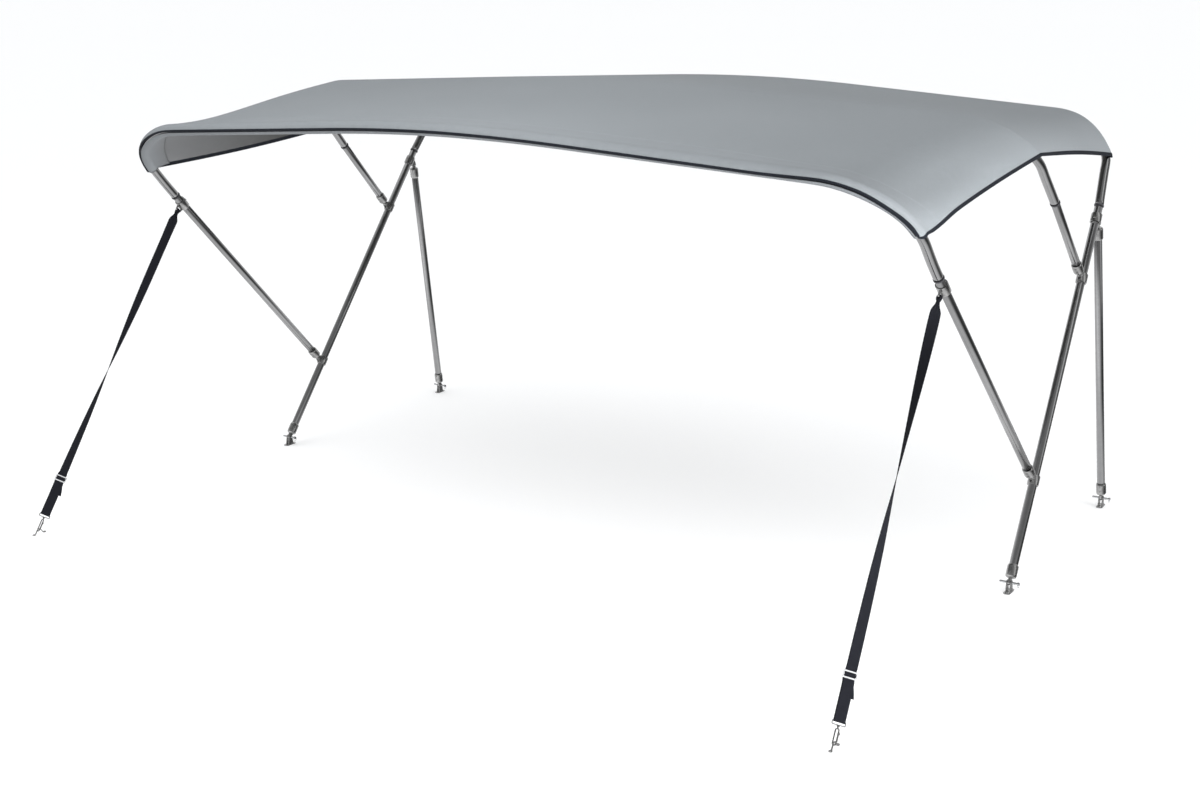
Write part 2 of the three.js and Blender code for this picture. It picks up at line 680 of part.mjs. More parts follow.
for (const [name, side] of SIDES) {
  const fromPin = (pin, end) => {
    const dir = new Vector3().subVectors(end, pin);
    const length = dir.length();
    const group = placeAt(pin, dir, new Vector3().crossVectors(ACROSS_BOAT, dir));
    return { group, length };
  };
  const leg = (label, pin, end) => {
    const { group, length } = fromPin(pin, end);
    add(`${label}_${name}`, rodZ(LEG_R, CUP_FLOOR + FIT, length - FIT), TUBE, group);
    add(`${label}_eye_end_${name}`, eyeEnd(), STEEL, group);
  };
  leg('main_leg', vec(MAIN_FOOT, side), vec(MAIN_JOINT, side));
  leg('front_leg', vec(FRONT_PIVOT, side), vec(FRONT_JOINT, side));
  leg('mid_leg', vec(MID_PIVOT, side), vec(MID_JOINT, side));

  // Rear pole with an eye end at each end
  const poleTop = vec(REAR_PIVOT, side);
  const poleFoot = vec(POLE_FOOT, side);
  const pole = fromPin(poleFoot, poleTop);
  add(`rear_pole_${name}`, rodZ(LEG_R, CUP_FLOOR + FIT, pole.length - CUP_FLOOR - FIT), TUBE, pole.group);
  add(`rear_pole_foot_end_${name}`, eyeEnd(), STEEL, pole.group);
  add(`rear_pole_top_end_${name}`, eyeEnd(), STEEL, fromPin(poleTop, poleFoot).group);

  // Clamps on the main bow
  const mainDir = new Vector3().subVectors(vec(MAIN_JOINT, side), vec(MAIN_FOOT, side));
  const clamps = [
    ['front_clamp', FRONT_CLAMP_AT, mainFore],
    ['mid_clamp', MID_CLAMP_AT, mainFore],
    ['rear_clamp', REAR_CLAMP_AT, mainFore.clone().negate()],
  ];
  for (const [label, s, towards] of clamps) {
    const at = vec(MAIN_FOOT, side).addScaledVector(mainDir, s / mainLength);
    add(`${label}_${name}`, jawSlide(), STEEL, placeAt(at, mainDir, towards));
  }

  // Deck hinges and their pins
  for (const [label, foot] of [['main', MAIN_FOOT], ['pole', POLE_FOOT]]) {
    const at = new THREE.Group();
    at.position.set(side * foot.x, foot.y, 0);
    model.add(at);
    add(`${label}_deck_hinge_${name}`, deckHinge(), STEEL, at);
    const pin = new THREE.Group();
    pin.position.set(0, 0, PIN_Z);
    at.add(pin);
    add(`${label}_hinge_pin_${name}`, releasePin(), STEEL, pin);
  }
}

// Straps

const frontDir = (side) => new Vector3().subVectors(vec(FRONT_JOINT, side), vec(FRONT_PIVOT, side)).normalize();

function turnAt(table, t) {
  let i = 1;
  while (i < table.length - 1 && table[i][0] < t) i += 1;
  const [[t0, a0], [t1, a1]] = [table[i - 1], table[i]];
  return lerp(a0, a1, (t - t0) / (t1 - t0));
}

// Band of even thickness: each station has a point, a width, and width and facing directions
function band(stations, thickness) {
  const n = stations.length - 1;
  const flat = new THREE.BoxGeometry(1, 1, n, 1, 1, n).translate(0, 0, n / 2);
  return moved(flat, (x, y, z) => {
    const s = stations[Math.round(z)];
    const p = s.point.clone().addScaledVector(s.wide, Math.sign(x) * s.width / 2);
    return p.addScaledVector(s.face, Math.sign(y) * thickness / 2);
  });
}

// Gives the stations after 'from' a facing square to the band's path, mitred at its bends
function faceSquare(stations, from, wide) {
  for (let i = from; i < stations.length; i += 1) {
    const here = stations[i];
    const a = i > 0 ? new Vector3().subVectors(here.point, stations[i - 1].point).normalize() : null;
    const b = i + 1 < stations.length
      ? new Vector3().subVectors(stations[i + 1].point, here.point).normalize() : a;
    const tangent = (a || b).clone().add(b).normalize();
    here.wide = wide.clone();
    here.face = new Vector3().crossVectors(wide, tangent).divideScalar(Math.max(0.7, tangent.dot(b)));
  }
  return stations;
}

// Ladder buckle about its middle bar, which lies along X; +Z runs up the strap
function buckle() {
  const half = WEB_W / 2 + 1;
  const r = 3;
  const x = half + BAR - r;
  const z = BAR_PITCH + BAR / 2 - r;
  const plate = new THREE.Shape()
    .absarc(x, z, r, 0, Math.PI / 2).absarc(-x, z, r, Math.PI / 2, Math.PI)
    .absarc(-x, -z, r, Math.PI, 1.5 * Math.PI).absarc(x, -z, r, 1.5 * Math.PI, 2 * Math.PI);
  const flat = new THREE.ExtrudeGeometry(plate, { depth: BAR, bevelEnabled: false, curveSegments: 2 });
  const frame = flat.translate(0, 0, -BAR / 2).rotateX(Math.PI / 2);
  const slots = [-1, 1].map((s) => block(-half, half, -5, 5,
    s > 0 ? BAR / 2 : BAR / 2 - BAR_PITCH, s > 0 ? BAR_PITCH - BAR / 2 : -BAR / 2));
  return fuse([frame], slots);
}

// Snap hook about the bar that the webbing folds round; its closed ring is turned about Z
function snapHook(turn) {
  const { wire, post, loopDeep, stemR, stemTo } = HOOK_LOOP;
  const half = WEB_W / 2 + 0.8;
  const posts = [-half - post, half].map((x) => block(x, x + post, -wire, wire, -loopDeep, wire));
  const foot = block(-half - 1, half + 1, -wire, wire, -loopDeep, 2 * wire - loopDeep);
  const stem = rodZ(stemR, -stemTo, -loopDeep + 1, 8);
  const top = 1 - stemTo - HOOK_HALF;
  const low = HOOK_HALF - HOOK_L - HOOK_BELOW;
  const line = [];
  for (let i = 0; i <= 6; i += 1) {
    const a = Math.PI * i / 6;
    line.push([HOOK_HALF * Math.cos(a), top + HOOK_HALF * Math.sin(a), Math.cos(a), Math.sin(a)]);
  }
  for (let i = 0; i <= 6; i += 1) {
    const a = Math.PI * (1 + i / 6);
    line.push([HOOK_HALF * Math.cos(a), low + HOOK_HALF * Math.sin(a), Math.cos(a), Math.sin(a)]);
  }
  const sides = 6;
  const section = Array.from({ length: sides }, (_, k) => k * 2 * Math.PI / sides);
  const ring = loopFrom(line.length, section, (i, a) => {
    const [x, z, nx, nz] = line[i];
    const r = HOOK_R * Math.cos(a);
    return new Vector3(x + r * nx, HOOK_R * Math.sin(a), z + r * nz);
  }).rotateZ(turn);
  return fuse([rodX(wire, -half - 0.5, half + 0.5, 8), ...posts, foot, stem, ring]);
}

// Strap eye screwed to the deck, its arch running fore and aft
function padEye() {
  const { high, thick, width, footWidth } = PAD_EYE;
  const t = thick / 2;
  const arch = [[4, high - t, width], [8, high - 5, width], [12.5, t + 1, width]];
  const half = [...arch, [14.5, t, footWidth], [22, t, footWidth]];
  const points = [...half.map(([y, z, w]) => [-y, z, w]).reverse(), ...half];
  const stations = points.map(([y, z, w]) => ({ point: new Vector3(0, y, z), width: w }));
  return band(faceSquare(stations, 0, ACROSS_BOAT), thick);
}

for (const [name, side] of SIDES) {
  const legDir = frontDir(side);
  const clampAt = vec(FRONT_JOINT, side).addScaledVector(legDir, -STRAP_CLAMP_BELOW_JOINT);
  const slide = placeAt(clampAt, legDir, BOWS.front.out);
  add(`strap_clamp_${name}`, strapSlide(), STEEL, slide);
  slide.updateMatrixWorld();

  // Loop of the webbing through the slot of the clamp
  const near = STRAP_EYE.slotTo - 1.2;
  const far = STRAP_EYE.slotTo + 3.5;
  const loopEnd = far + 8;
  const loopLine = [[-3.4, near], [3.4, near], [3.4, far], [0.5, loopEnd], [-0.5, loopEnd], [-3.4, far]];
  const neckSection = [[-1, -1], [1, -1], [1, 1], [-1, 1]];
  const neckLoop = loopFrom(loopLine.length, neckSection, (i, [across, along]) => {
    const at = (k) => new Vector2(...loopLine[(k + loopLine.length) % loopLine.length]);
    const before = at(i).sub(at(i - 1)).normalize();
    const after = at(i + 1).sub(at(i)).normalize();
    const mean = before.clone().add(after).normalize();
    const stretch = 1 / Math.max(0.6, mean.dot(after));
    const p = at(i).add(new Vector2(-mean.y, mean.x).multiplyScalar(across * WEB_T / 2 * stretch));
    return slide.localToWorld(new Vector3(p.x, p.y, along * WEB_NECK_W / 2));
  });

  const top = slide.localToWorld(new Vector3(0, loopEnd - 0.6, 0));
  const hookEye = new Vector3(side * PAD_EYE.x, PAD_EYE.y, PAD_EYE.high - PAD_EYE.thick / 2);
  const down = new Vector3().subVectors(hookEye, top).normalize();
  const run = hookEye.distanceTo(top) - HOOK_L;

  // Facing across the strap: 0 degrees faces forward, 90 degrees faces to the right
  const fore = new Vector3(0, -1, 0).addScaledVector(down, down.y).normalize();
  const right = new Vector3().crossVectors(fore, down).normalize();
  const facing = (deg) => fore.clone().multiplyScalar(Math.cos(deg * Math.PI / 180))
    .addScaledVector(right, Math.sin(deg * Math.PI / 180));
  const table = TWIST[name];
  const endFace = facing(table[table.length - 1][1]);
  const endWide = new Vector3().crossVectors(down, endFace);
  const endFront = endFace.clone().negate();

  // Main run, turning on its way down
  const stations = [];
  const steps = 30;
  const closeSteps = 5;
  const closeShare = 0.065;
  const weaveFrom = run - BUCKLE_UP - 16;
  for (let i = 0; i <= steps; i += 1) {
    const onward = lerp(closeShare, 1, (i - closeSteps) / (steps - closeSteps));
    const distance = weaveFrom * (i < closeSteps ? closeShare * i / closeSteps : onward);
    const face = facing(turnAt(table, distance / run));
    stations.push({
      point: top.clone().addScaledVector(down, distance),
      face,
      wide: new Vector3().crossVectors(down, face),
      width: lerp(WEB_NECK_W, WEB_W, smoothstep(distance, 0, 40)),
    });
  }

  // Lower end: through the buckle, round the hook's bar, back up, and over into the free tail
  const B = BUCKLE_UP;
  const P = BAR_PITCH;
  const over = (at, off) => [[at + 1.6, off], [at - 1.6, off]];
  const lower = [
    ...over(B + P, -WEAVE), ...over(B, WEAVE), ...over(B - P, -WEAVE),
    [B - P - 12, FOLD_R], [0, FOLD_R],
    ...arc(0, 0, FOLD_R, -30, -150, 4).map(([off, up]) => [up, off]),
    [0, -FOLD_R], [B - P - 12, -FOLD_R],
    [B - P - 4, -5], [B + 4, -5], [B + 5.6, -5.8], [B + 5.6, -7.2], [B + 4, TAIL_OFF], [B - TAIL_END, TAIL_OFF],
  ];
  for (const [up, off] of lower) {
    stations.push({
      point: top.clone().addScaledVector(down, run - up).addScaledVector(endFront, off),
      width: WEB_W,
    });
  }
  faceSquare(stations, steps + 1, endWide);
  add(`strap_${name}`, fuse([band(stations, WEB_T), neckLoop]), WEBBING);

  const up = down.clone().negate();
  const onStrap = (distance) => top.clone().addScaledVector(down, run - distance);
  add(`strap_buckle_${name}`, buckle(), BRIGHT, placeAt(onStrap(B), up, endFront));
  const hook = placeAt(onStrap(0), up, endFront);
  const boatX = ACROSS_BOAT.clone().applyQuaternion(hook.quaternion.clone().invert());
  add(`snap_hook_${name}`, snapHook(Math.atan2(boatX.y, boatX.x)), BRIGHT, hook);
  const pad = new THREE.Group();
  pad.position.set(side * PAD_EYE.x, PAD_EYE.y, 0);
  model.add(pad);
  add(`pad_eye_${name}`, padEye(), STEEL, pad);
}

const extent = new THREE.Box3().setFromObject(model, true);
model.position.y = -(extent.min.y + extent.max.y) / 2;

export default model;
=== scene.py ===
# %% [markdown]
# A folding sunshade for a small boat
#
# A taut cloth roof stands on three bent tube bows. The rear bow carries the load, the other two hang on
# it, two poles hold it from behind and two webbing straps hold it from the front. We build it around the
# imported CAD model, which is a fixed frame: every piece below sits where a CAD node sits and replaces it.

# %% Load the frame
import bisect
import itertools
import math

import bmesh
import bpy
from mathutils import Matrix, Vector


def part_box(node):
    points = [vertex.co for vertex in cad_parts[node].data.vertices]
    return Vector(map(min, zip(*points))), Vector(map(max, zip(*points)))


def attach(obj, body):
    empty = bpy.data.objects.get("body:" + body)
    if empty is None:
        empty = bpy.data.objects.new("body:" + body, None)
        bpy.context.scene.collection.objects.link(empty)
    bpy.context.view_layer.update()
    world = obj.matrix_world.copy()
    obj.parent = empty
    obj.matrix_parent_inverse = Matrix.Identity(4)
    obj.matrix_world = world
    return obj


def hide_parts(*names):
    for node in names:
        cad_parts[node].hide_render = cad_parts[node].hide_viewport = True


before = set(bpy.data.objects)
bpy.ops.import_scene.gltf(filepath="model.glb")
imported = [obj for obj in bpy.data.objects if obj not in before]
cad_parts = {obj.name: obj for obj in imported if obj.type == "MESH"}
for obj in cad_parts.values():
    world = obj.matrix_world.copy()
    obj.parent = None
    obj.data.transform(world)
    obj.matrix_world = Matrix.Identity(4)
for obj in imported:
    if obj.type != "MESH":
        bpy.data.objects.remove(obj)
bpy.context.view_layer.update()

# %% [markdown]
# Millimetres on the drawing, metres in Blender
#
# Small fittings are easiest to read in millimetres, as on a maker's drawing. So every shape here is worked
# out in millimetres, and one function turns finished points into metres. The drawing starts between the
# two hinges of the rear bow, and the frame says how far aft of the origin those hinges stand.

# %% From the drawing to the frame
MM = 0.001
hinge_low, hinge_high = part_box("main_deck_hinge_right")
AFT = (hinge_low[1] + hinge_high[1]) / 2 / MM


def in_metres(point):
    return Vector((point[0], point[1] + AFT, point[2])) * MM


print("the main hinges stand", round(AFT, 1), "mm aft of the origin")

# %% [markdown]
# The camera
#
# The camera is placed by fitting known points, such as the four hinge plates, to the photograph. A
# real lens is a focal length on a sensor width, and Blender keeps both, so the fitted view is just a place,
# a heading, a downward tilt and a focal length.

# %% Camera
CAMERA_AT = Vector((2445.6, -3860.4, 1557.6))
CAMERA_HEADING = 32.46
CAMERA_TILT = 15.13
PHOTO_WIDTH_PX = 1200
FOCAL_PX = 1681.5
SENSOR_MM = 36

lens = bpy.data.cameras.new("photo_camera")
camera = bpy.data.objects.new("photo_camera", lens)
bpy.context.scene.collection.objects.link(camera)
bpy.context.scene.camera = camera
lens.sensor_width = SENSOR_MM
lens.lens = SENSOR_MM * FOCAL_PX / PHOTO_WIDTH_PX
lens.clip_end = 300
camera.location = in_metres(CAMERA_AT)
camera.rotation_euler = (math.radians(90 - CAMERA_TILT), 0, math.radians(CAMERA_HEADING))
print("lens", round(lens.lens, 2), "mm")

# %% [markdown]
# Shader nodes, one line each
#
# Materials and the surroundings are built from shader nodes. One function adds a node, sets its inputs from
# values or from other nodes, and gives back the output that is wanted. Short ones for sums, ranges and
# colours stand on it.

# %% Shader nodes
def is_socket(value):
    return isinstance(value, bpy.types.NodeSocket)


def wire(tree, kind, out=0, settings=None, **inputs):
    """Adds one node; an input is a value or another node's output, and 'out' names what is given back."""
    node = tree.nodes.new(kind)
    for key, value in (settings or {}).items():
        setattr(node, key, value)
    for key, value in inputs.items():
        socket = node.inputs[int(key[1:]) if key[1:].isdigit() else key.replace("_", " ")]
        if is_socket(value):
            tree.links.new(value, socket)
        else:
            socket.default_value = value
    return [node.outputs[o] for o in out] if isinstance(out, tuple) else node.outputs[out]


def maths(tree, operation, a, b=0.0):
    return wire(tree, "ShaderNodeMath", 0, {"operation": operation}, i0=a, i1=b)


def times(tree, a, b):
    return wire(tree, "ShaderNodeVectorMath", 0, {"operation": "MULTIPLY"}, i0=a, i1=b)


def graded(tree, value, low, high, to_low=0.0, to_high=1.0):
    return wire(tree, "ShaderNodeMapRange", i0=value, i1=low, i2=high, i3=to_low, i4=to_high)


def blended(tree, share, first, second):
    """From the first colour to the second by a share from 0 to 1; either may be numbers or a socket."""
    first, second = (c if is_socket(c) else (*c, 1) for c in (first, second))
    return wire(tree, "ShaderNodeMix", 2, {"data_type": "RGBA"}, i0=share, i6=first, i7=second)


def blank_material(name, roughness, metallic=0.0, **fixed):
    material = bpy.data.materials.new(name)
    material.use_nodes = True
    shader = material.node_tree.nodes["Principled BSDF"]
    for key, value in {"Roughness": roughness, "Metallic": metallic, **fixed}.items():
        shader.inputs[key.replace("_", " ")].default_value = value
    return material, material.node_tree, shader


print("shader node helpers are ready")

# %% [markdown]
# A pale floor and soft light
#
# The floor is one wide pale sheet, so that it fills the picture up to the horizon. An even grey world, two
# soft suns and two area lamps light the part. Metal only looks like metal when it has something bright and
# something darker to mirror, so mirrored rays see a room of broad bands, and the camera itself sees white.

# %% Floor
bpy.context.scene.view_settings.view_transform = "Standard"
FLOOR_HALF = 150.0
FLOOR_DROP = 0.0006


def plain_floor():
    corners = [(-1, -1), (1, -1), (1, 1), (-1, 1)]
    mesh = bpy.data.meshes.new("studio_floor")
    mesh.from_pydata([(x * FLOOR_HALF, y * FLOOR_HALF, -FLOOR_DROP) for x, y in corners], [], [(0, 1, 2, 3)])
    mesh.materials.append(blank_material("pale_floor_paint", 0.9, Base_Color=(0.98, 0.98, 0.98, 1))[0])
    floor = bpy.data.objects.new("studio_floor", mesh)
    floor.visible_glossy = False
    bpy.context.scene.collection.objects.link(floor)


plain_floor()
print("floor", 2 * FLOOR_HALF, "m wide")

# %% Surroundings
SKY_FOR_CAMERA = 1.0
SKY_GREY = 0.69
# What metal mirrors, by heading from 0 to 1 counted from behind the left-hand side: (heading, brightness)
MIRRORED_DOWN = ((0.0, 0.7), (0.5, 0.8), (0.6, 0.95), (0.8, 0.8))
MIRRORED_LOW = ((0.0, 0.65), (0.08, 0.85), (0.16, 1.1), (0.24, 1.05), (0.31, 0.85), (0.38, 0.55),
                (0.45, 0.2), (0.52, 0.06), (0.62, 0.06), (0.68, 0.25), (0.76, 0.9), (0.9, 0.9))
MIRRORED_HIGH = ((0.0, 0.5), (0.05, 0.4), (0.2, 0.24), (0.35, 0.22), (0.44, 0.25), (0.49, 0.55),
                 (0.51, 1.1), (0.53, 0.6), (0.56, 0.12), (0.62, 0.15), (0.72, 0.7))
# Each band takes over from the one below between two heights of a line of sight, from -1 down to 1 up
BANDS = ((-0.85, -0.5, MIRRORED_LOW), (-0.12, 0.12, MIRRORED_HIGH))


def ramp(tree, value, stops):
    colour = wire(tree, "ShaderNodeValToRGB", Fac=value)
    elements = colour.node.color_ramp.elements
    while len(elements) < len(stops):
        elements.new(1.0)
    for element, (place, brightness) in zip(elements, stops):
        element.position = place
        element.color = (brightness, brightness, brightness * 1.01, 1)
    return colour


def surroundings():
    world = bpy.data.worlds.new("studio")
    bpy.context.scene.world = world
    world.use_nodes = True
    tree = world.node_tree
    tree.nodes.clear()
    sight = wire(tree, "ShaderNodeTexCoord", "Generated")
    x, y, z = wire(tree, "ShaderNodeSeparateXYZ", ("X", "Y", "Z"), Vector=sight)
    heading = graded(tree, maths(tree, "ARCTAN2", y, x), -math.pi, math.pi)
    room = ramp(tree, heading, MIRRORED_DOWN)
    for z_from, z_to, band in BANDS:
        room = blended(tree, graded(tree, z, z_from, z_to), room, ramp(tree, heading, band))
    light = wire(tree, "ShaderNodeBackground", Color=(0.97, 0.985, 1, 1), Strength=SKY_GREY)
    seen = {"Is Glossy Ray": (room, 1.0), "Is Camera Ray": ((1, 1, 1, 1), SKY_FOR_CAMERA)}
    for kind, (colour, strength) in seen.items():
        shown = wire(tree, "ShaderNodeBackground", Color=colour, Strength=strength)
        light = wire(tree, "ShaderNodeMixShader", Fac=wire(tree, "ShaderNodeLightPath", kind), i1=light,
                     i2=shown)
    tree.links.new(light, tree.nodes.new("ShaderNodeOutputWorld").inputs["Surface"])


surroundings()
print("surroundings", SKY_GREY, "with", len(MIRRORED_DOWN + MIRRORED_LOW + MIRRORED_HIGH), "mirrored patches")

# %% Lamps
AIM = Vector((0, 0, 0.8))


def lamp(name, kind, power, towards, **settings):
    """A lamp that shines against the direction 'towards', which points at it."""
    data = bpy.data.lights.new(name, kind)
    for key, value in {"energy": power, **settings}.items():
        setattr(data, key, value)
    thing = bpy.data.objects.new(name, data)
    thing.rotation_euler = towards.to_track_quat("Z", "Y").to_euler()
    thing.visible_glossy = False
    bpy.context.scene.collection.objects.link(thing)
    return thing


def area_lamp(name, place, power, width):
    thing = lamp(name, "AREA", power, Vector(place) - AIM, shape="RECTANGLE", size=width, size_y=0.8,
                 use_shadow=False)
    thing.location = place
    thing.visible_camera = False


def soft_sun(name, heading, height, strength, spread):
    """A very soft sun that stands at this heading from +X and this height, in degrees."""
    a, b = math.radians(heading), math.radians(height)
    towards = Vector((math.cos(a) * math.cos(b), math.sin(a) * math.cos(b), math.sin(b)))
    lamp(name, "SUN", strength, towards, angle=math.radians(spread))


soft_sun("overhead_sky", -100, 52, 1.15, 120)
soft_sun("low_right", -10, 9, 1.8, 30)
area_lamp("key_front", (-0.1, -1.9, 2.7), 48, 1.6)
area_lamp("fill_right", (3.1, -1.1, 0.25), 112, 1.2)

# %% [markdown]
# Finishes from shader groups
#
# Cloth, webbing, tube and steel share a few effects: a plain weave, a soft uneven tone and fine lines along
# a drawn tube. Each is a shader node group that is built once, with named inputs and outputs, and each
# material sets its own values. A material hands each group a place. For cloth, webbing and tube that is
# the UV map, which this script lays out in metres, so a thread keeps its real size on every piece.

# %% A group and its sockets
def shader_group(name, takes, gives):
    """A group with inputs (name, value or None for a place or direction) and number outputs."""
    group = bpy.data.node_groups.new(name, "ShaderNodeTree")
    for label, value in takes:
        kind = "NodeSocketVector" if value is None else "NodeSocketFloat"
        socket = group.interface.new_socket(label, in_out="INPUT", socket_type=kind)
        if value is not None:
            socket.default_value = value
    for label in gives:
        group.interface.new_socket(label, in_out="OUTPUT", socket_type="NodeSocketFloat")
    return group, group.nodes.new("NodeGroupInput").outputs, group.nodes.new("NodeGroupOutput").inputs


def noise(tree, place, scale, detail):
    return wire(tree, "ShaderNodeTexNoise", "Fac", Vector=place, Scale=scale, Detail=detail)


print("group helpers are ready")

# %% [markdown]
# The weave
#
# In a plain weave each thread goes over one neighbour and under the next. A checkerboard says which thread
# is on top, and a half sine across it gives the round back of the thread. The same squares, tinted a little
# lighter or darker, keep the colour from looking like paint.

# %% Weave group
def weave_group():
    takes = [("Place", None), ("Threads per metre", 1200.0), ("Rib", 1.0)]
    group, given, result = shader_group("plain_weave", takes, ["Height", "Thread tone"])
    threads = given["Threads per metre"]
    spread = wire(group, "ShaderNodeCombineXYZ", X=threads, Y=threads, Z=1.0)
    apart = wire(group, "ShaderNodeCombineXYZ", X=given["Rib"], Y=1.0, Z=1.0)
    counted = times(group, times(group, given["Place"], spread), apart)
    across = wire(group, "ShaderNodeSeparateXYZ", ("X", "Y"), Vector=counted)
    waves = [maths(group, "SINE", maths(group, "MULTIPLY", a, math.pi)) for a in across]
    backs = [maths(group, "ABSOLUTE", wave) for wave in waves]
    over = wire(group, "ShaderNodeTexChecker", "Fac", Vector=counted, Scale=1.0)
    slub = noise(group, counted, 0.35, 2.0)
    group.links.new(wire(group, "ShaderNodeMix", Factor=over, i2=backs[0], i3=backs[1]), result["Height"])
    group.links.new(maths(group, "ADD", maths(group, "MULTIPLY", over, 0.5), slub), result["Thread tone"])
    return group


WEAVE = weave_group()
print("weave group", [s.name for s in WEAVE.interface.items_tree])

# %% [markdown]
# Uneven tone
#
# Nothing made of cloth or metal is the same grey all over. Two sizes of noise, one broad and one fine, give
# a value that runs from 0 to 1, and each material decides how strongly it is felt.

# %% Tone group
def tone_group():
    takes = [("Place", None), ("Broad", 2.0), ("Fine", 30.0), ("Fine share", 0.3)]
    group, given, result = shader_group("uneven_tone", takes, ["Tone"])
    broad = noise(group, given["Place"], given["Broad"], 3.0)
    fine = noise(group, given["Place"], given["Fine"], 4.0)
    blend = wire(group, "ShaderNodeMix", Factor=given["Fine share"], i2=broad, i3=fine)
    group.links.new(graded(group, blend, 0.3, 0.7), result["Tone"])
    return group


TONE = tone_group()
print("tone group", [s.name for s in TONE.interface.items_tree])

# %% [markdown]
# Drawn lines
#
# Tube and bar are pulled through a die, which leaves faint lines along them. Stretching a noise a hundred
# times along the piece gives the same lines. They change the roughness and lift the surface by very little.

# %% Drawn line group
def drawn_line_group():
    takes = [("Place", None), ("Lines per metre", 2500.0), ("Stretch", 0.004)]
    group, given, result = shader_group("drawn_lines", takes, ["Line"])
    along = maths(group, "MULTIPLY", given["Lines per metre"], given["Stretch"])
    spread = wire(group, "ShaderNodeCombineXYZ", X=given["Lines per metre"], Y=along, Z=1.0)
    line = noise(group, times(group, given["Place"], spread), 1.0, 2.0)
    group.links.new(graded(group, line, 0.3, 0.7), result["Line"])
    return group


DRAWN = drawn_line_group()
print("drawn line group", [s.name for s in DRAWN.interface.items_tree])

# %% [markdown]
# Painted shade across the cloth
#
# Shade is painted into the cloth's colour in three places. The underside of the roof gets darker from the
# front hem aft, the pocket from the hem to its seam, and the roof's front hem, where the cloth wraps round
# the front bow, is a little darker than the roof. All three are one effect: a share from 0 to 1 by the
# distance from a line on the cloth.

# %% Painted shade group
def painted_shade_group():
    takes = [("Place", None), ("Direction", None), ("Middle", 0.0), ("Near", 0.0), ("Far", 1.0)]
    group, given, result = shader_group("painted_shade_across_cloth", takes, ["Share"])
    at = wire(group, "ShaderNodeVectorMath", "Value", {"operation": "DOT_PRODUCT"}, i0=given["Place"],
              i1=given["Direction"])
    away = maths(group, "ABSOLUTE", maths(group, "SUBTRACT", at, given["Middle"]))
    group.links.new(graded(group, away, given["Near"], given["Far"]), result["Share"])
    return group


PAINTED_SHADE = painted_shade_group()
print("fade group", [s.name for s in PAINTED_SHADE.interface.items_tree])

# %% [markdown]
# Materials
#
# Each material is a Principled shader fed by the groups: they change its colour and roughness and feed a
# Bump node. Values that are the same all over, such as the sheen of cloth, sit on the shader's own sockets.

# %% Material helpers
def grouped(tree, group, out, **inputs):
    return wire(tree, "ShaderNodeGroup", out, {"node_tree": group}, **inputs)


def feed(tree, shader, **sockets):
    for key, socket in sockets.items():
        tree.links.new(socket, shader.inputs[key.replace("_", " ")])


def bumped(tree, height, depth):
    return wire(tree, "ShaderNodeBump", Height=height, Distance=depth, Strength=1.0)


print("material helpers are ready")

# %% Canvas
CANVAS_THREADS = 900.0


def canvas(name, dark, light, threads=CANVAS_THREADS, depth=0.00016, rib=1.0, sheen=0.06, shine=0.25,
           fade=None, fades_to=None):
    """Woven cloth; 'fade' is how far from the front hem, in metres, other colours begin and take over, which
    paints shade by the distance from the hem.
    """
    material, tree, shader = blank_material(name, 0.82, Sheen_Weight=sheen, Sheen_Roughness=0.45,
                                            Specular_IOR_Level=shine)
    place = wire(tree, "ShaderNodeUVMap")
    height, thread = grouped(tree, WEAVE, ("Height", "Thread tone"), Place=place, Threads_per_metre=threads,
                             Rib=rib)
    tone = grouped(tree, TONE, "Tone", Place=place, Broad=1.6, Fine=55.0, Fine_share=0.35)
    mixed = wire(tree, "ShaderNodeMix", Factor=0.35, i2=tone, i3=thread)
    colour = blended(tree, mixed, dark, light)
    # Painted shade: the colour changes with the distance from the front hem.
    if fade:
        share = grouped(tree, PAINTED_SHADE, "Share", Place=place, Direction=(0, 1, 0), Near=fade[0], Far=fade[1])
        colour = blended(tree, share, colour, blended(tree, mixed, *fades_to))
    feed(tree, shader, Base_Color=colour, Roughness=graded(tree, tone, 0.0, 1.0, 0.76, 0.9),
         Normal=bumped(tree, height, depth))
    return material


# Painted shade: the roof's underside is painted in these two shades, darker towards the rear, where less
# light reaches it.
DEEP_SHADE = ((0.052, 0.052, 0.051), (0.068, 0.068, 0.067))
FLAP_SHADE = ((0.122, 0.125, 0.129), (0.15, 0.153, 0.157))
ROOF_GREY = ((0.16, 0.175, 0.186), (0.205, 0.222, 0.235))
UNDERSIDE_PAINTED_SHADE = canvas("underside_painted_shade", *FLAP_SHADE, sheen=0.01, shine=0.15, fade=(0.12, 0.62),
                   fades_to=DEEP_SHADE)
# Painted shade: the pocket is lighter at the front hem and darkens to the underside's painted shade at its
# seam.
POCKET_PAINTED_SHADE = canvas("pocket_canvas_painted_shade", (0.142, 0.151, 0.159), (0.178, 0.188, 0.198), sheen=0.02, fade=(0.03, 0.11),
                fades_to=FLAP_SHADE)
# Painted shade: the roof is darker at its front hem, where the cloth wraps round the front bow and faces the
# light more; ROOF_GREY beyond it is the roof's own colour.
CANVAS_PAINTED_HEM_SHADE = canvas("grey_canvas_painted_hem_shade", (0.148, 0.161, 0.17), (0.19, 0.205, 0.216), fade=(0.02, 0.05),
                fades_to=ROOF_GREY)
TAPE = canvas("black_binding_tape", (0.006, 0.007, 0.01), (0.013, 0.015, 0.02), 1500.0, 0.0002, 2.0, 0.01,
              0.12)
WEB = canvas("black_webbing", (0.006, 0.0062, 0.008), (0.012, 0.0125, 0.016), 620.0, 0.0005, 0.5, 0.005, 0.06)
THREAD = canvas("grey_thread", (0.2, 0.22, 0.235), (0.3, 0.32, 0.34), 3000.0, 0.0001)
BLACK_THREAD = canvas("black_thread", (0.02, 0.022, 0.028), (0.045, 0.048, 0.056), 3000.0, 0.0001)
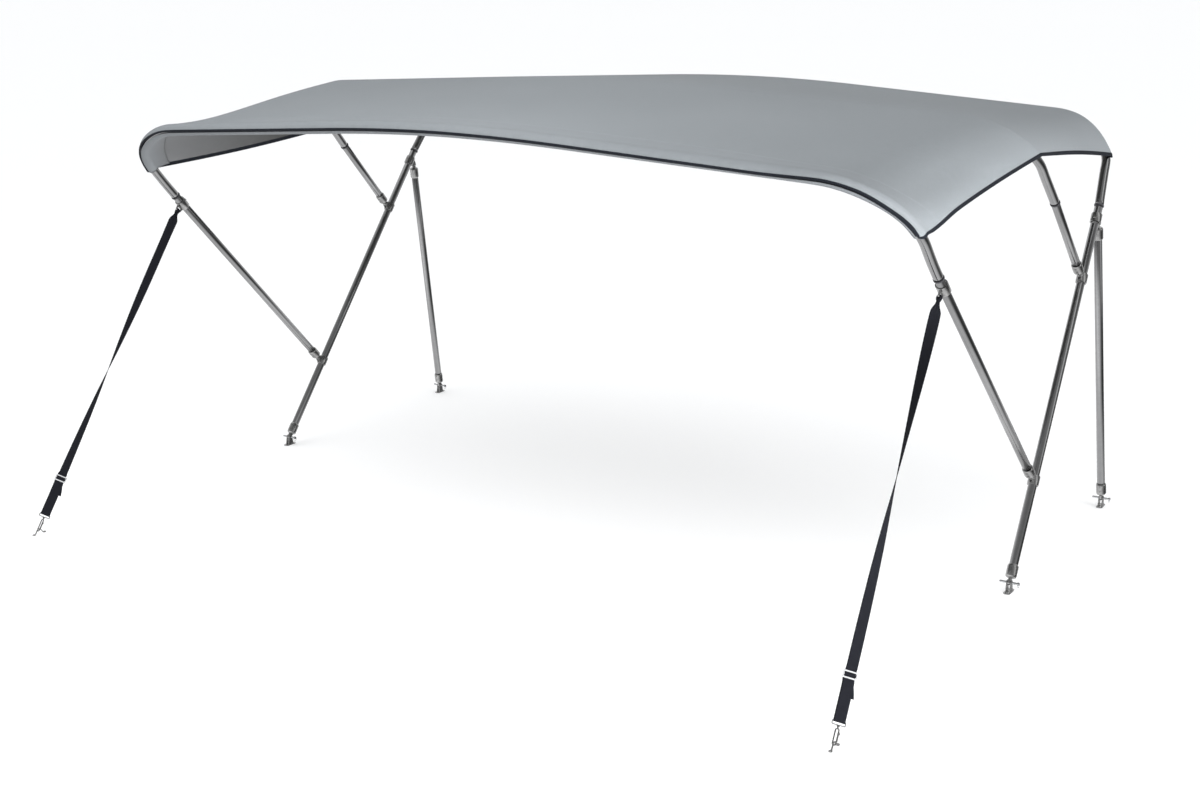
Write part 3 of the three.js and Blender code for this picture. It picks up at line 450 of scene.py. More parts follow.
print("cloth materials", [m.name for m in (UNDERSIDE_PAINTED_SHADE, POCKET_PAINTED_SHADE, CANVAS_PAINTED_HEM_SHADE, TAPE, WEB, THREAD, BLACK_THREAD)])

# %% Metals
def drawn_metal(name, dark, light, smooth, dull):
    material, tree, shader = blank_material(name, smooth, 1.0)
    place = wire(tree, "ShaderNodeUVMap")
    line = grouped(tree, DRAWN, "Line", Place=place, Lines_per_metre=1400.0, Stretch=0.003)
    tone = grouped(tree, TONE, "Tone", Place=place, Broad=7.0, Fine=60.0, Fine_share=0.4)
    mixed = wire(tree, "ShaderNodeMix", Factor=0.5, i2=tone, i3=line)
    feed(tree, shader, Base_Color=blended(tree, mixed, dark, light), Normal=bumped(tree, line, 0.00001),
         Roughness=graded(tree, mixed, 0.0, 1.0, smooth, dull))
    return material


def polished_metal(name, dark, light, smooth, dull, metallic=1.0):
    material, tree, shader = blank_material(name, smooth, metallic)
    place = wire(tree, "ShaderNodeTexCoord", "Object")
    tone = grouped(tree, TONE, "Tone", Place=place, Broad=45.0, Fine=420.0, Fine_share=0.35)
    feed(tree, shader, Base_Color=blended(tree, tone, dark, light), Normal=bumped(tree, tone, 0.00006),
         Roughness=graded(tree, tone, 0.0, 1.0, dull, smooth))
    return material


def black_plastic(name, dark, light, roughness):
    material, tree, shader = blank_material(name, roughness)
    place = wire(tree, "ShaderNodeTexCoord", "Object")
    tone = grouped(tree, TONE, "Tone", Place=place, Broad=60.0, Fine=500.0, Fine_share=0.4)
    feed(tree, shader, Base_Color=blended(tree, tone, dark, light))
    return material


TUBE = drawn_metal("satin_tube", (0.36, 0.362, 0.365), (0.52, 0.522, 0.525), 0.1, 0.2)
STEEL = polished_metal("polished_steel", (0.34, 0.34, 0.34), (0.68, 0.68, 0.67), 0.14, 0.34)
BRIGHT = polished_metal("bright_steel", (0.62, 0.63, 0.64), (0.86, 0.87, 0.88), 0.08, 0.2)
CHROME = polished_metal("white_plated_steel", (0.72, 0.73, 0.74), (0.86, 0.87, 0.88), 0.14, 0.28, 0.7)
BLACK_RING = black_plastic("black_end_ring", (0.015, 0.015, 0.017), (0.045, 0.045, 0.05), 0.5)
print("metal materials", [m.name for m in (TUBE, STEEL, BRIGHT, CHROME, BLACK_RING)])

# %% [markdown]
# The shape of a bow
#
# A bow is one tube bent in a flat plane that leans fore or aft: a straight leg, a round bend and a crown
# with a slight rise. We could draw it as a Bezier curve, but a straight line, an arc and a shallow parabola
# say what the tube bender really does. A bend may be a little flatter than its arc, and the first stretch
# of an arch may be quite straight. The bow keeps a list of points with their running length, so that the
# tube, the cloth over it and the pocket round it can all ask for the same place.

# %% Bow
CROWN_HALF = 350.0
LEG_STEPS, BEND_STEPS, CROWN_STEPS = 8, 64, 90
STRAIGHT_EASE, STRAIGHT_END = 0.7, 1.25


def smoothstep(x, low, high):
    t = min(1.0, max(0.0, (x - low) / (high - low)))
    return t * t * (3 - 2 * t)


def grows_and_fades(x, grows, fades):
    return smoothstep(x, *grows) * (1 - smoothstep(x, *fades))


def mix(a, b, t):
    return a + (b - a) * t


def running(line, unit=1.0):
    """Length along a line of points up to each of them."""
    steps = (math.dist(a, b) if isinstance(a, tuple) else (b - a).length for a, b in zip(line, line[1:]))
    return list(itertools.accumulate((step * unit for step in steps), initial=0.0))


def reached(run, at):
    """The number of the step in a list of running lengths that holds 'at', and the part of it used up."""
    i = min(max(bisect.bisect_right(run, at), 1), len(run) - 1)
    return i, (at - run[i - 1]) / (run[i] - run[i - 1])


class Bow:
    """Places along one bent tube, by running length from either joint up to the middle.

    'top' is the height of the crown and 'slope' its rise per millimetre. 'rack' moves the crown to the right,
    'left_sag' lowers its left half, 'flat' presses the bend in by (depth, from, to), and the first
    'straight_to' of the arch is drawn straight.
    """

    def __init__(self, foot, joint, top, slope, bend_r, rack=0.0, left_sag=0.0, faces_aft=False,
                 flat=(0, 1, 2), straight_to=0.0):
        self.foot = Vector(foot)
        rise = Vector((0, joint[1] - foot[1], joint[2] - foot[2]))
        self.up = rise.normalized()
        self.out = Vector((0, self.up.z, -self.up.y)) * (1 if faces_aft else -1)
        self.rack = rack
        self.left_sag = left_sag
        self.flat = flat
        self.straight_to = straight_to
        self.samples = self.half_path(joint[0], rise.length, top, slope, bend_r)
        self.lengths = running([sample[:2] for sample in self.samples])
        self.half = self.lengths[-1]
        self.bend_start = self.lengths[LEG_STEPS]
        self.bend_end = self.lengths[LEG_STEPS + BEND_STEPS]

    def half_path(self, joint_x, joint_s, top, slope, bend_r):
        lean = (joint_x - self.foot.x) / joint_s
        corner = joint_x
        for _ in range(20):
            corner = joint_x + lean * (top - slope * (corner - CROWN_HALF / 2) - joint_s)
        leg = Vector((lean, 1)).normalized()
        turn = math.acos(leg.dot(Vector((-1, slope)).normalized()))
        start = Vector((corner, top - slope * (corner - CROWN_HALF / 2))) - leg * bend_r * math.tan(turn / 2)
        centre = start + Vector((-leg.y, leg.x)) * bend_r
        first = math.atan2(-leg.x, leg.y)
        samples = []
        for i in range(LEG_STEPS):
            t = i / LEG_STEPS
            samples.append((mix(joint_x, start.x, t), mix(joint_s, start.y, t), leg.y, -leg.x))
        for i in range(BEND_STEPS + 1):
            a = first + turn * i / BEND_STEPS
            samples.append((centre.x + bend_r * math.cos(a), centre.y + bend_r * math.sin(a),
                            math.cos(a), math.sin(a)))
        bend_x = samples[-1][0]
        for i in range(1, CROWN_STEPS + 1):
            x = bend_x * (1 - i / CROWN_STEPS)
            rounded = x < CROWN_HALF
            s = top - slope * (x * x / (2 * CROWN_HALF) if rounded else x - CROWN_HALF / 2)
            k = slope * (x / CROWN_HALF if rounded else 1)
            samples.append((x, s, k / math.hypot(k, 1), 1 / math.hypot(k, 1)))
        return samples

    def length_at_height(self, s):
        """Running length at which the leg or bend reaches a height up the plane."""
        i = next(k for k, sample in enumerate(self.samples) if sample[1] >= s)
        a, b = self.samples[i - 1], self.samples[i]
        return mix(self.lengths[i - 1], self.lengths[i], (s - a[1]) / (b[1] - a[1]))

    def straightened(self, length, x, s):
        """Draws the stretch below the roof straight, and eases it into the bend above."""
        first, (i, t) = self.samples[0], reached(self.lengths, self.straight_to)
        end_x, end_s = (mix(p, q, t) for p, q in zip(self.samples[i - 1][:2], self.samples[i][:2]))
        part = length / self.straight_to
        share = 1 - smoothstep(part, STRAIGHT_EASE, STRAIGHT_END)
        return mix(x, mix(first[0], end_x, part), share), mix(s, mix(first[1], end_s, part), share)

    def at(self, side, length):
        """Centre of the tube and the direction straight out of the bow, on side 1 (right) or -1 (left)."""
        i, t = reached(self.lengths, length)
        x, s, nx, ns = (mix(p, q, t) for p, q in zip(self.samples[i - 1], self.samples[i]))
        depth, low, high = self.flat
        flat = depth * math.sin(math.pi * min(1.0, max(0.0, (length - low) / (high - low)))) ** 2
        x, s = x - nx * flat, s - ns * flat
        if length < self.straight_to * STRAIGHT_END:
            x, s = self.straightened(length, x, s)
        share = smoothstep(length, 0, self.bend_end)
        crown = min(1.0, (self.half - length) / (self.half - self.bend_end))
        s -= self.left_sag * share * crown if side < 0 else 0.0
        centre = Vector((side * x + self.rack * share, self.foot.y, self.foot.z)) + self.up * s
        normal = Vector((side * nx, self.up.y * ns, self.up.z * ns)).normalized()
        return centre, normal


print("bow steps", LEG_STEPS, BEND_STEPS, CROWN_STEPS)

# %% [markdown]
# Where the frame stands
#
# These are the driving sizes: the feet, the joints where each leg meets its arch, and how far up the rear
# bow its clamps sit. The front bow has racked a little to the right and hangs lower at its left bend, as
# such a light frame does once the straps are pulled tight.

# %% Frame sizes
PIN_UP = 25.0
MAIN_FOOT = Vector((1199, 0, PIN_UP))
MAIN_JOINT = Vector((1167, 640, 883))
FRONT_JOINT = Vector((1150.5, -466, 865))
MID_JOINT = Vector((1160, 280, 935))
POLE_FOOT = Vector((1196.5, 787, PIN_UP))
FRONT_CLAMP_AT = 275.0
MID_CLAMP_AT = 852.0
REAR_CLAMP_AT = 1033.0
PIVOT_OUT = 24.0
LEG_R = 11.1
ARCH_R = 12.0

MAIN_UP = Vector((0, *(MAIN_JOINT - MAIN_FOOT).yz)).normalized()
MAIN_FORE = Vector((0, -MAIN_UP.z, MAIN_UP.y))
MAIN_LENGTH = (MAIN_JOINT - MAIN_FOOT).yz.length


def pivot(up, out):
    x = mix(MAIN_FOOT.x, MAIN_JOINT.x, up / MAIN_LENGTH)
    return Vector((x, 0, PIN_UP)) + MAIN_UP * up + MAIN_FORE * out


FRONT_PIVOT = pivot(FRONT_CLAMP_AT, PIVOT_OUT)
MID_PIVOT = pivot(MID_CLAMP_AT, PIVOT_OUT)
REAR_PIVOT = pivot(REAR_CLAMP_AT, -PIVOT_OUT)

FRONT = Bow(FRONT_PIVOT, FRONT_JOINT, top=1257, slope=0.09, bend_r=225, rack=28, left_sag=13,
            flat=(6, 190, 470))
MID = Bow(MID_PIVOT, MID_JOINT, top=667, slope=0.083, bend_r=203, straight_to=150)
MAIN = Bow(MAIN_FOOT, MAIN_JOINT, top=1407, slope=0.072, bend_r=203, faces_aft=True, flat=(4, 110, 330),
           straight_to=150)
SIDES = (("right", 1), ("left", -1))


def on_side(point, side):
    return Vector((side * point.x, point.y, point.z))


print("half lengths", [round(bow.half) for bow in (FRONT, MID, MAIN)], "mm, bends from and to",
      [(round(bow.bend_start), round(bow.bend_end)) for bow in (FRONT, MID, MAIN)])

# %% [markdown]
# Making and naming pieces
#
# A piece is a mesh object that rides on the frame, takes a finish and stands for one or more CAD nodes.
# Cloth, webbing and tube get a UV map in metres. The small fittings need none, because their finish is laid
# out by their own coordinates.

# %% Piece helpers
def piece(name, mesh, materials, stands_for, place=None):
    for material in materials[len(mesh.materials):]:
        mesh.materials.append(material)
    for face in mesh.polygons:
        face.use_smooth = True
    thing = bpy.data.objects.new(name, mesh)
    if place is not None:
        thing.matrix_world = place
    bpy.context.scene.collection.objects.link(thing)
    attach(thing, "root")
    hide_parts(*stands_for)
    return thing


def skin(name, rows, uvs=None, around=False, along=False, caps=False):
    """Skin over rows of points, closed round the rows, along each row or with a cap at both ends."""
    n, m = len(rows), len(rows[0])
    faces = [((r, c), (r, c + 1), (r + 1, c + 1), (r + 1, c))
             for r in range(n if around else n - 1) for c in range(m if along else m - 1)]
    ends = [[(0, c) for c in range(m)][::-1], [(n - 1, c) for c in range(m)]] if caps else []
    mesh = bpy.data.meshes.new(name)
    mesh.from_pydata([p for row in rows for p in row], [],
                     [[r % n * m + c % m for r, c in face] for face in faces + ends])
    if uvs:
        marks = [uvs(r, c) for face in faces for r, c in face] + [(0.0, 0.0) for end in ends for _ in end]
        for loop, mark in zip(mesh.uv_layers.new(name="metres").data, marks):
            loop.uv = mark
    return mesh


def skin_in_metres(name, rows, uvs, **closed):
    """Skin in metres over rows in millimetres, with 'uvs' from row and column to a place in metres."""
    mesh = skin(name, [[in_metres(p) for p in row] for row in rows], uvs, **closed)
    mesh.validate()
    fix = bmesh.new()
    fix.from_mesh(mesh)
    bmesh.ops.recalc_face_normals(fix, faces=fix.faces)
    fix.to_mesh(mesh)
    fix.free()
    return mesh


def axes_on(along, towards):
    """Local +Z runs along 'along' and local +Y leans towards 'towards', as on the CAD."""
    z = along.normalized()
    x = towards.cross(z).normalized()
    return x, z.cross(x), z


def frame_on(origin, along, towards):
    axes = Matrix(axes_on(along, towards)).transposed().to_4x4()
    return Matrix.Translation(in_metres(origin)) @ axes


print("piece helpers are ready")

# %% [markdown]
# Tubes
#
# A Blender curve with a round bevel would give a tube too, but then the fine lines along it could not be
# told which way to run. So a tube is a ring of points carried from station to station, with its UV map
# unrolled in metres: once round, and along its length.

# %% Tube
TUBE_SIDES = 40
ROUND_END = 0.8


def turns(sides):
    return [2 * math.pi * k / sides for k in range(sides)]


def tube_mesh(name, stations, radii):
    """stations are (centre, normal, side direction); radii has one radius for each."""
    rows = [[centre + (normal * math.cos(a) + out * math.sin(a)) * radius for a in turns(TUBE_SIDES)]
            for (centre, normal, out), radius in zip(stations, radii)]
    run = running([station[0] for station in stations], MM)
    girth = 2 * math.pi * max(radii) * MM
    return skin_in_metres(name, rows, lambda r, c: (c / TUBE_SIDES * girth, run[r]), along=True, caps=True)


def straight_tube(name, start, end, radius, stands_for):
    direction = (end - start).normalized()
    normal = direction.orthogonal().normalized()
    out = direction.cross(normal)
    length = (end - start).length
    places = [(0, radius - ROUND_END), (ROUND_END, radius), (length - ROUND_END, radius),
              (length, radius - ROUND_END)]
    stations = [(start + direction * at, normal, out) for at, _ in places]
    return piece(name, tube_mesh(name, stations, [r for _, r in places]), [TUBE], stands_for)


print("tube sides", TUBE_SIDES)

# %% [markdown]
# Bow arches
#
# Each arch slips over its two legs, so it is a touch thicker than they are, and a black end ring closes
# the gap. The arch is one tube from ring to ring. Its stations are so close together that the bends don't
# turn into straight pieces.

# %% Arches
RING_R, RING_L, RING_EASE = 13.0, 4.0, 0.6
ARCH_EVERY = 14.0
ARCH_FROM = 0.5


def bow_stations(bow, first):
    steps = int((bow.half - first) / ARCH_EVERY)
    lengths = [mix(first, bow.half, i / steps) for i in range(steps + 1)]
    right, left = ([(*bow.at(side, length), bow.out) for length in lengths] for side in (1, -1))
    return right + left[-2::-1]


def end_ring(name, bow, side, stands_for):
    profile = [(ARCH_R - 1, 0), (RING_R - RING_EASE, 0), (RING_R, RING_EASE), (RING_R, RING_L - RING_EASE),
               (RING_R - RING_EASE, RING_L), (ARCH_R - 1, RING_L)]
    stations = [(*bow.at(side, at), bow.out) for _, at in profile]
    mesh = tube_mesh(name, stations, [r for r, _ in profile])
    return piece(name, mesh, [BLACK_RING], stands_for)


for key, bow in (("front", FRONT), ("mid", MID), ("main", MAIN)):
    stations = bow_stations(bow, ARCH_FROM)
    arch, tube = f"{key}_bow_arch", f"{key}_arch_tube"
    piece(tube, tube_mesh(tube, stations, [ARCH_R] * len(stations)), [TUBE], [arch])
    for name, side in SIDES:
        end_ring(f"{key}_arch_ring_{name}", bow, side, [arch])
    print(key, "arch", round(2 * bow.half), "mm of tube")

# %% [markdown]
# Legs and poles
#
# The legs and the two rear poles are plain lengths of the thinner tube. Their ends disappear into the
# fittings, so each is cut where the CAD cuts it.

# %% Legs and poles
CUP_FLOOR = 20.0
FIT = 0.4
LEGS = (("main_leg", MAIN_FOOT, MAIN_JOINT, 0), ("front_leg", FRONT_PIVOT, FRONT_JOINT, 0),
        ("mid_leg", MID_PIVOT, MID_JOINT, 0), ("rear_pole", POLE_FOOT, REAR_PIVOT, CUP_FLOOR))

for label, low, high, end_gap in LEGS:
    for name, side in SIDES:
        a, b = on_side(low, side), on_side(high, side)
        along = (b - a).normalized()
        start, end = a + along * (CUP_FLOOR + FIT), b - along * (end_gap + FIT)
        straight_tube(f"{label}_tube_{name}", start, end, LEG_R, [f"{label}_{name}"])
    print(label, round((high - low).length), "mm between centres")

# %% [markdown]
# Where the cloth meets the bows
#
# The roof cloth is pulled tight, so between two bows it runs straight, and where it meets a bow it lies on
# a circle a little wider than the tube. From that alone every place of the cloth can be worked out: find
# the straight line that touches both circles, and wrap the rest round. The front hem turns under its bow
# by another amount at the right bend and at the left tip, as it was sewn. None of this needs a cloth
# simulation, which would sag a sheet that the real straps keep tight.

# %% Cloth on the bows
CLOTH_T = 1.6
CLOTH_R = 15.4
TAIL = 7.5
CLOTH_ENDS = ((FRONT, 1018, 984), (MID, 472, 388), (MAIN, 1219, 1184))
FRONT_WRAP = {1: math.radians(44), -1: math.radians(26)}
REAR_WRAP = math.radians(24)
HEM_TURN_BEND = {1: math.radians(-20), -1: 0.0}
HEM_TURN_TIP = {1: 0.0, -1: math.radians(14)}
LEAST_WRAP = 0.3
# Where those turns grow and fade, as shares of the way from the side edge to the middle
BEND_TURN_GROWS, BEND_TURN_FADES, TIP_TURN_FADES = (0.075, 0.16), (0.17, 0.36), (0, 0.05)

for bow, right_end, left_end in CLOTH_ENDS:
    bow.cloth_end = {1: bow.length_at_height(right_end), -1: bow.length_at_height(left_end)}


def spot(bow, side, share):
    """Share 0 is the cloth's side edge and 1 is the middle of the roof."""
    return (*bow.at(side, mix(bow.cloth_end[side], bow.half, share)), bow.out)


def round_tube(place, angle, radius):
    centre, normal, out = place
    return centre + (normal * math.cos(angle) + out * math.sin(angle)) * radius


def touching(place, start, radius, turn):
    """Angle at which a straight line from 'start' touches the circle round the tube."""
    centre, normal, out = place
    away = start - centre
    n, m = away.dot(normal), away.dot(out)
    return math.atan2(m, n) + turn * math.acos(radius / math.hypot(n, m))


def wraps(side, share):
    front, mid, main = (spot(bow, side, share) for bow in (FRONT, MID, MAIN))
    f0 = touching(front, mid[0], CLOTH_R, 1)
    r0 = touching(main, mid[0], CLOTH_R, 1)
    wrap = mix(FRONT_WRAP[side], (FRONT_WRAP[1] + FRONT_WRAP[-1]) / 2, share)
    wrap += HEM_TURN_BEND[side] * grows_and_fades(share, BEND_TURN_GROWS, BEND_TURN_FADES)
    wrap += HEM_TURN_TIP[side] * (1 - smoothstep(share, *TIP_TURN_FADES))
    return front, mid, main, f0, max(wrap, f0 + LEAST_WRAP), r0, max(REAR_WRAP, r0 + LEAST_WRAP)


print("cloth ends", [{k: round(v) for k, v in bow.cloth_end.items()} for bow in (FRONT, MID, MAIN)])

# %% [markdown]
# The roof cloth
#
# One continuous sheet covers all three bows. It is a fine grid: each row of points runs from the front
# hem over the bows to the rear hem. The front panel is cut a little hollow, so it dips behind the front
# bend. A real panel shows the same hollow when it is cut straight and pulled over two bows of different
# height. Solidify then gives the sheet its thickness.

# %% Roof grid
TAIL_STEPS, WRAP_STEPS, PANEL_STEPS, OVER_STEPS, REAR_WRAP_STEPS = 3, 8, 26, 4, 6
PANEL_DIP, CROWN_DIP_PART = 151.7, 0.15
DIP_GROWS, DIP_FADES = (0, 0.1), (0.22, 0.5)
# The columns are closer together in the outer quarter of each side, where the bends are
BENDS_TO, BEND_COLUMNS, CROWN_COLUMNS = 0.25, 48, 60
SIDE_SHARES = [BENDS_TO * i / BEND_COLUMNS for i in range(BEND_COLUMNS)]
SIDE_SHARES += [mix(BENDS_TO, 1, i / CROWN_COLUMNS) for i in range(CROWN_COLUMNS + 1)]


def dip_share(share):
    return smoothstep(share, *DIP_GROWS) * mix(1, CROWN_DIP_PART, smoothstep(share, *DIP_FADES))


def wrap_line(place, start, end, steps, radius):
    return [round_tube(place, mix(start, end, i / steps), radius) for i in range(steps + 1)]


def tail(place, angle):
    _, normal, out = place
    ahead = out * math.cos(angle) - normal * math.sin(angle)
    start = round_tube(place, angle, CLOTH_R)
    return [start + ahead * (TAIL * i / TAIL_STEPS) for i in range(TAIL_STEPS, 0, -1)]


def roof_row(side, share):
    front, mid, main, f0, f1, r0, r1 = wraps(side, share)
    fore = wrap_line(front, f1, f0, WRAP_STEPS, CLOTH_R)
    aft = wrap_line(main, r0, r1, REAR_WRAP_STEPS, CLOTH_R)
    a, b = touching(mid, fore[-1], CLOTH_R, -1), touching(mid, aft[0], CLOTH_R, 1)
    over = wrap_line(mid, a, b, OVER_STEPS, CLOTH_R)
    inward = -(front[1] + mid[1]).normalized()
    parts = [i / PANEL_STEPS for i in range(1, PANEL_STEPS)]
    dip = PANEL_DIP * dip_share(share)
    front_panel = [fore[-1].lerp(over[0], t) + inward * (dip * t * (1 - t) ** 3) for t in parts]
    rear_panel = [over[-1].lerp(aft[0], t) for t in parts]
    return tail(front, f1) + fore + front_panel + over + rear_panel + aft + tail(main, r1)[::-1]


def grid_across(row_at, first=0.0):
    shares = [first] + SIDE_SHARES[1:]
    lines = [row_at(1, s) for s in shares] + [row_at(-1, s) for s in shares[-2::-1]]
    return [list(row) for row in zip(*lines)]


roof = grid_across(roof_row)
LAST = len(roof) - 1
EDGE = len(roof[0]) - 1
FRONT_PANEL_ROW = TAIL_STEPS + WRAP_STEPS
REAR_PANEL_ROW = FRONT_PANEL_ROW + PANEL_STEPS + OVER_STEPS
print("roof grid", LAST + 1, "by", EDGE + 1, "points")

# %% [markdown]
# Side edges and corners
#
# The side edge of the front panel bows up on the right and hangs down a little on the left. The corners
# are rounded off by a centimetre, and the right front one is a little fuller just behind that. All are
# small moves along the rows, which fade out within a hand's width of the edge, so the grid stays even.

# %% Edge shape
EDGE_REACH = 80.0
EDGE_LIFT = {1: 6.0, -1: -9.0}
REAR_EDGE_LIFT = {1: 5.0, -1: 0.0}
CORNER_CUT, CORNER_RUN = 10.0, 12.0
CORNER_FILL = {1: 7.0, -1: 0.0}
FILL_GROWS, FILL_FADES = (4, 36), (60, 220)


def slid(line, shift):
    """Moves a line of points so that it starts 'shift' further in, fading to nothing."""
    run = running(line)
    result = []
    for at, point in zip(run, line):
        if at < EDGE_REACH:
            i, t = reached(run, at + shift * (1 - at / EDGE_REACH) ** 2)
            point = line[i - 1].lerp(line[i], t)
        result.append(point)
    return result


def bulge(r, first_row):
    """Rises from none at the first row of a panel to one in its middle and back to none at its last row."""
    t = (r - first_row) / PANEL_STEPS
    return math.sin(math.pi * t) if 0 < t < 1 else 0.0


def edge_shift(side, r, from_front, from_rear):
    lift = EDGE_LIFT[side] * bulge(r, FRONT_PANEL_ROW) + REAR_EDGE_LIFT[side] * bulge(r, REAR_PANEL_ROW)
    lift -= CORNER_FILL[side] * grows_and_fades(from_front, FILL_GROWS, FILL_FADES)
    nearest = min(from_front, from_rear)
    return lift + (CORNER_CUT * (1 - nearest / CORNER_RUN) ** 2 if nearest < CORNER_RUN else 0.0)


for side, edge in ((1, 0), (-1, EDGE)):
    run = running([row[edge] for row in roof])
    for r, line in enumerate(roof):
        shift = edge_shift(side, r, run[r], run[-1] - run[r])
        inward = slid(line if side > 0 else line[::-1], shift)
        roof[r] = inward if side > 0 else inward[::-1]
    print("side edge", side, round(run[-1]), "mm long")

# %% Roof cloth
def grid_cloth(name, grid, thickness, materials, stands_for):
    """A sheet of cloth from a grid of points, with its weave laid out by lengths along two of its lines."""
    across, along = running(grid[len(grid) // 2], MM), running([row[len(row) // 2] for row in grid], MM)
    mesh = skin_in_metres(name, grid, lambda r, c: (across[c], along[r]))
    if mesh.polygons[len(mesh.polygons) // 2].normal.z < 0:
        mesh.flip_normals()
    area = sum(face.area for face in mesh.polygons)
    sheet = piece(name, mesh, materials, stands_for)
    thick = sheet.modifiers.new("cloth thickness", "SOLIDIFY")
    thick.thickness = thickness * MM
    thick.offset = 0
    thick.material_offset = len(materials) - 1
    widest, longest = (max(running(line, MM)[-1] for line in lines) for lines in (grid, list(zip(*grid))))
    print(name, "cut", round(widest, 3), "by", round(longest, 3), "m, area", round(area, 3), "m2")
    return sheet, (widest, longest), area


roof_cloth, roof_cut, roof_area = grid_cloth("roof_cloth", roof, CLOTH_T, [CANVAS_PAINTED_HEM_SHADE, UNDERSIDE_PAINTED_SHADE],
                                             ["canopy"])

# %% [markdown]
# The binding
#
# A black tape is folded over the raw edge of the roof and sewn through. Its section is a narrow U. We
# carry that U once round the rim. At a corner the two inward directions are blended, which is how a sewer
# eases the tape round.

# %% Binding
BIND_T = 0.9
BIND_GAP = 0.25
BIND_W = 8.0
FRONT_TAPE_W = 5.2
SIDE_TAPE_W = {1: 10.5, -1: 14.0}
BIND_EASE = 9.0
# Beside an end of the roof the tape narrows or widens between these distances from the corner
END_NARROWS, SIDE_WIDENS, SIDE_REACH = (60, 200), (0, 60), (0, 30)


def sheet_normal(grid, r, c):
    last_r, last_c = len(grid) - 1, len(grid[0]) - 1
    along = grid[min(r + 1, last_r)][c] - grid[max(r - 1, 0)][c]
    across = grid[r][min(c + 1, last_c)] - grid[r][max(c - 1, 0)]
    return along.cross(across).normalized()


def inward_part(point, edge_point, next_in):
    """Full strength on the edge itself, fading to none a little way along the other edge."""
    away = point - edge_point
    if away.length < 0.001:
        return (next_in - point).normalized()
    return away.normalized() * max(0.0, 1 - away.length / BIND_EASE)


def tape_width(grid, r, c):
    """How much tape shows: a little on the front hem, which it rolls under, and more on the sides."""
    last_c = len(grid[0]) - 1
    side = 0 if c < last_c / 2 else last_c
    to_front = (grid[r][c] - grid[0][c]).length
    to_side = (grid[r][c] - grid[r][side]).length
    share_of_side = 1 - smoothstep(to_side, *SIDE_REACH)
    along_end = mix(BIND_W, FRONT_TAPE_W, smoothstep(to_side, *END_NARROWS)) if r < len(grid) / 2 else BIND_W
    along_side = mix(BIND_W, SIDE_TAPE_W[1 if side == 0 else -1], smoothstep(to_front, *SIDE_WIDENS))
    return mix(along_end, along_side, share_of_side)


def rim_stations(grid):
    """Point, inward direction, sheet normal and tape width at each place round the edge of a grid."""
    last_r, last_c = len(grid) - 1, len(grid[0]) - 1
    rim = [(0, c) for c in range(last_c)] + [(r, last_c) for r in range(last_r)]
    rim += [(last_r, c) for c in range(last_c, 0, -1)] + [(r, 0) for r in range(last_r, 0, -1)]
    stations = []
    for r, c in rim:
        end_r, next_r = (0, 1) if r < last_r / 2 else (last_r, last_r - 1)
        end_c, next_c = (0, 1) if c < last_c / 2 else (last_c, last_c - 1)
        point = grid[r][c]
        inward = inward_part(point, grid[end_r][c], grid[next_r][c])
        inward += inward_part(point, grid[r][end_c], grid[r][next_c])
        stations.append((point, inward, sheet_normal(grid, r, c), tape_width(grid, r, c)))
    return stations


def u_section(width):
    """The folded tape: (inward, outward) from the cloth's edge, round both lips."""
    lip = CLOTH_T / 2 + BIND_GAP
    skin = lip + BIND_T
    back = -BIND_GAP - BIND_T
    tip = back + width
    half = [(back, skin - 1.4), (back + 0.2, skin - 0.6), (back + 0.9, skin), (tip - 0.4, skin),
            (tip, skin - 0.25)]
    outer = [(w, -h) for w, h in reversed(half)] + half
    return outer + [(tip, lip), (-BIND_GAP, lip), (-BIND_GAP, -lip), (tip, -lip)]


RIM = rim_stations(roof)
rim_run = running([station[0] for station in RIM], MM)
girth = running(u_section(BIND_W), MM)
print("binding", round(rim_run[-1], 2), "m of tape")
# The last step round the rim and the last step round the section close both of them
rim_run.append(rim_run[-1] + 0.007)
girth.append(girth[-1] + 0.002)
tape_rows = [[point + inward * w + normal * h for w, h in u_section(width)]
             for point, inward, normal, width in RIM]
tape_mesh = skin_in_metres("roof_binding", tape_rows, lambda r, c: (girth[c], rim_run[r]), around=True,
                           along=True)
binding = piece("roof_binding", tape_mesh, [TAPE], ["edge_binding"])

# %% [markdown]
# The front bow's pocket
#
# The front bow runs in a pocket: a second strip of cloth that starts at the front hem, goes round the
# tube and is sewn to the roof behind it. From below it hides the tube and shows a soft edge. It is a grid
# of its own, a few millimetres clear of the dipped roof above it.

# %% Front pocket
POCKET_T = 1.2
POCKET_R = 14.8
POCKET_LIP_R = 15.6
POCKET_LIP_TURN = math.radians(44)
POCKET_BACK = 78.0
POCKET_INSET = 0.012
POCKET_BELOW = 3.1
POCKET_WRAP_STEPS, POCKET_END_STEPS = 14, 6


def part_way(line, distance):
    """The point that lies this far along a line of points, and the number of the point after it."""
    i, t = reached(running(line), distance)
    return line[i - 1].lerp(line[i], t), i


def pocket_row(side, share):
    front, _, _, f0, f1, _, _ = wraps(side, share)
    panel = roof_row(side, share)[FRONT_PANEL_ROW:FRONT_PANEL_ROW + PANEL_STEPS]
    drop = (round_tube(front, f0, 1) - front[0]).normalized()
    end = part_way(panel, POCKET_BACK)[0] - drop * POCKET_BELOW
    last = touching(front, end, POCKET_R, -1) + 2 * math.pi
    lip = f1 + POCKET_LIP_TURN
    wrap = []
    for i in range(POCKET_WRAP_STEPS + 1):
        radius = mix(POCKET_LIP_R, POCKET_R, min(1, i / 3))
        wrap.append(round_tube(front, mix(lip, last, i / POCKET_WRAP_STEPS), radius))
    return wrap + [wrap[-1].lerp(end, i / POCKET_END_STEPS) for i in range(1, POCKET_END_STEPS + 1)]


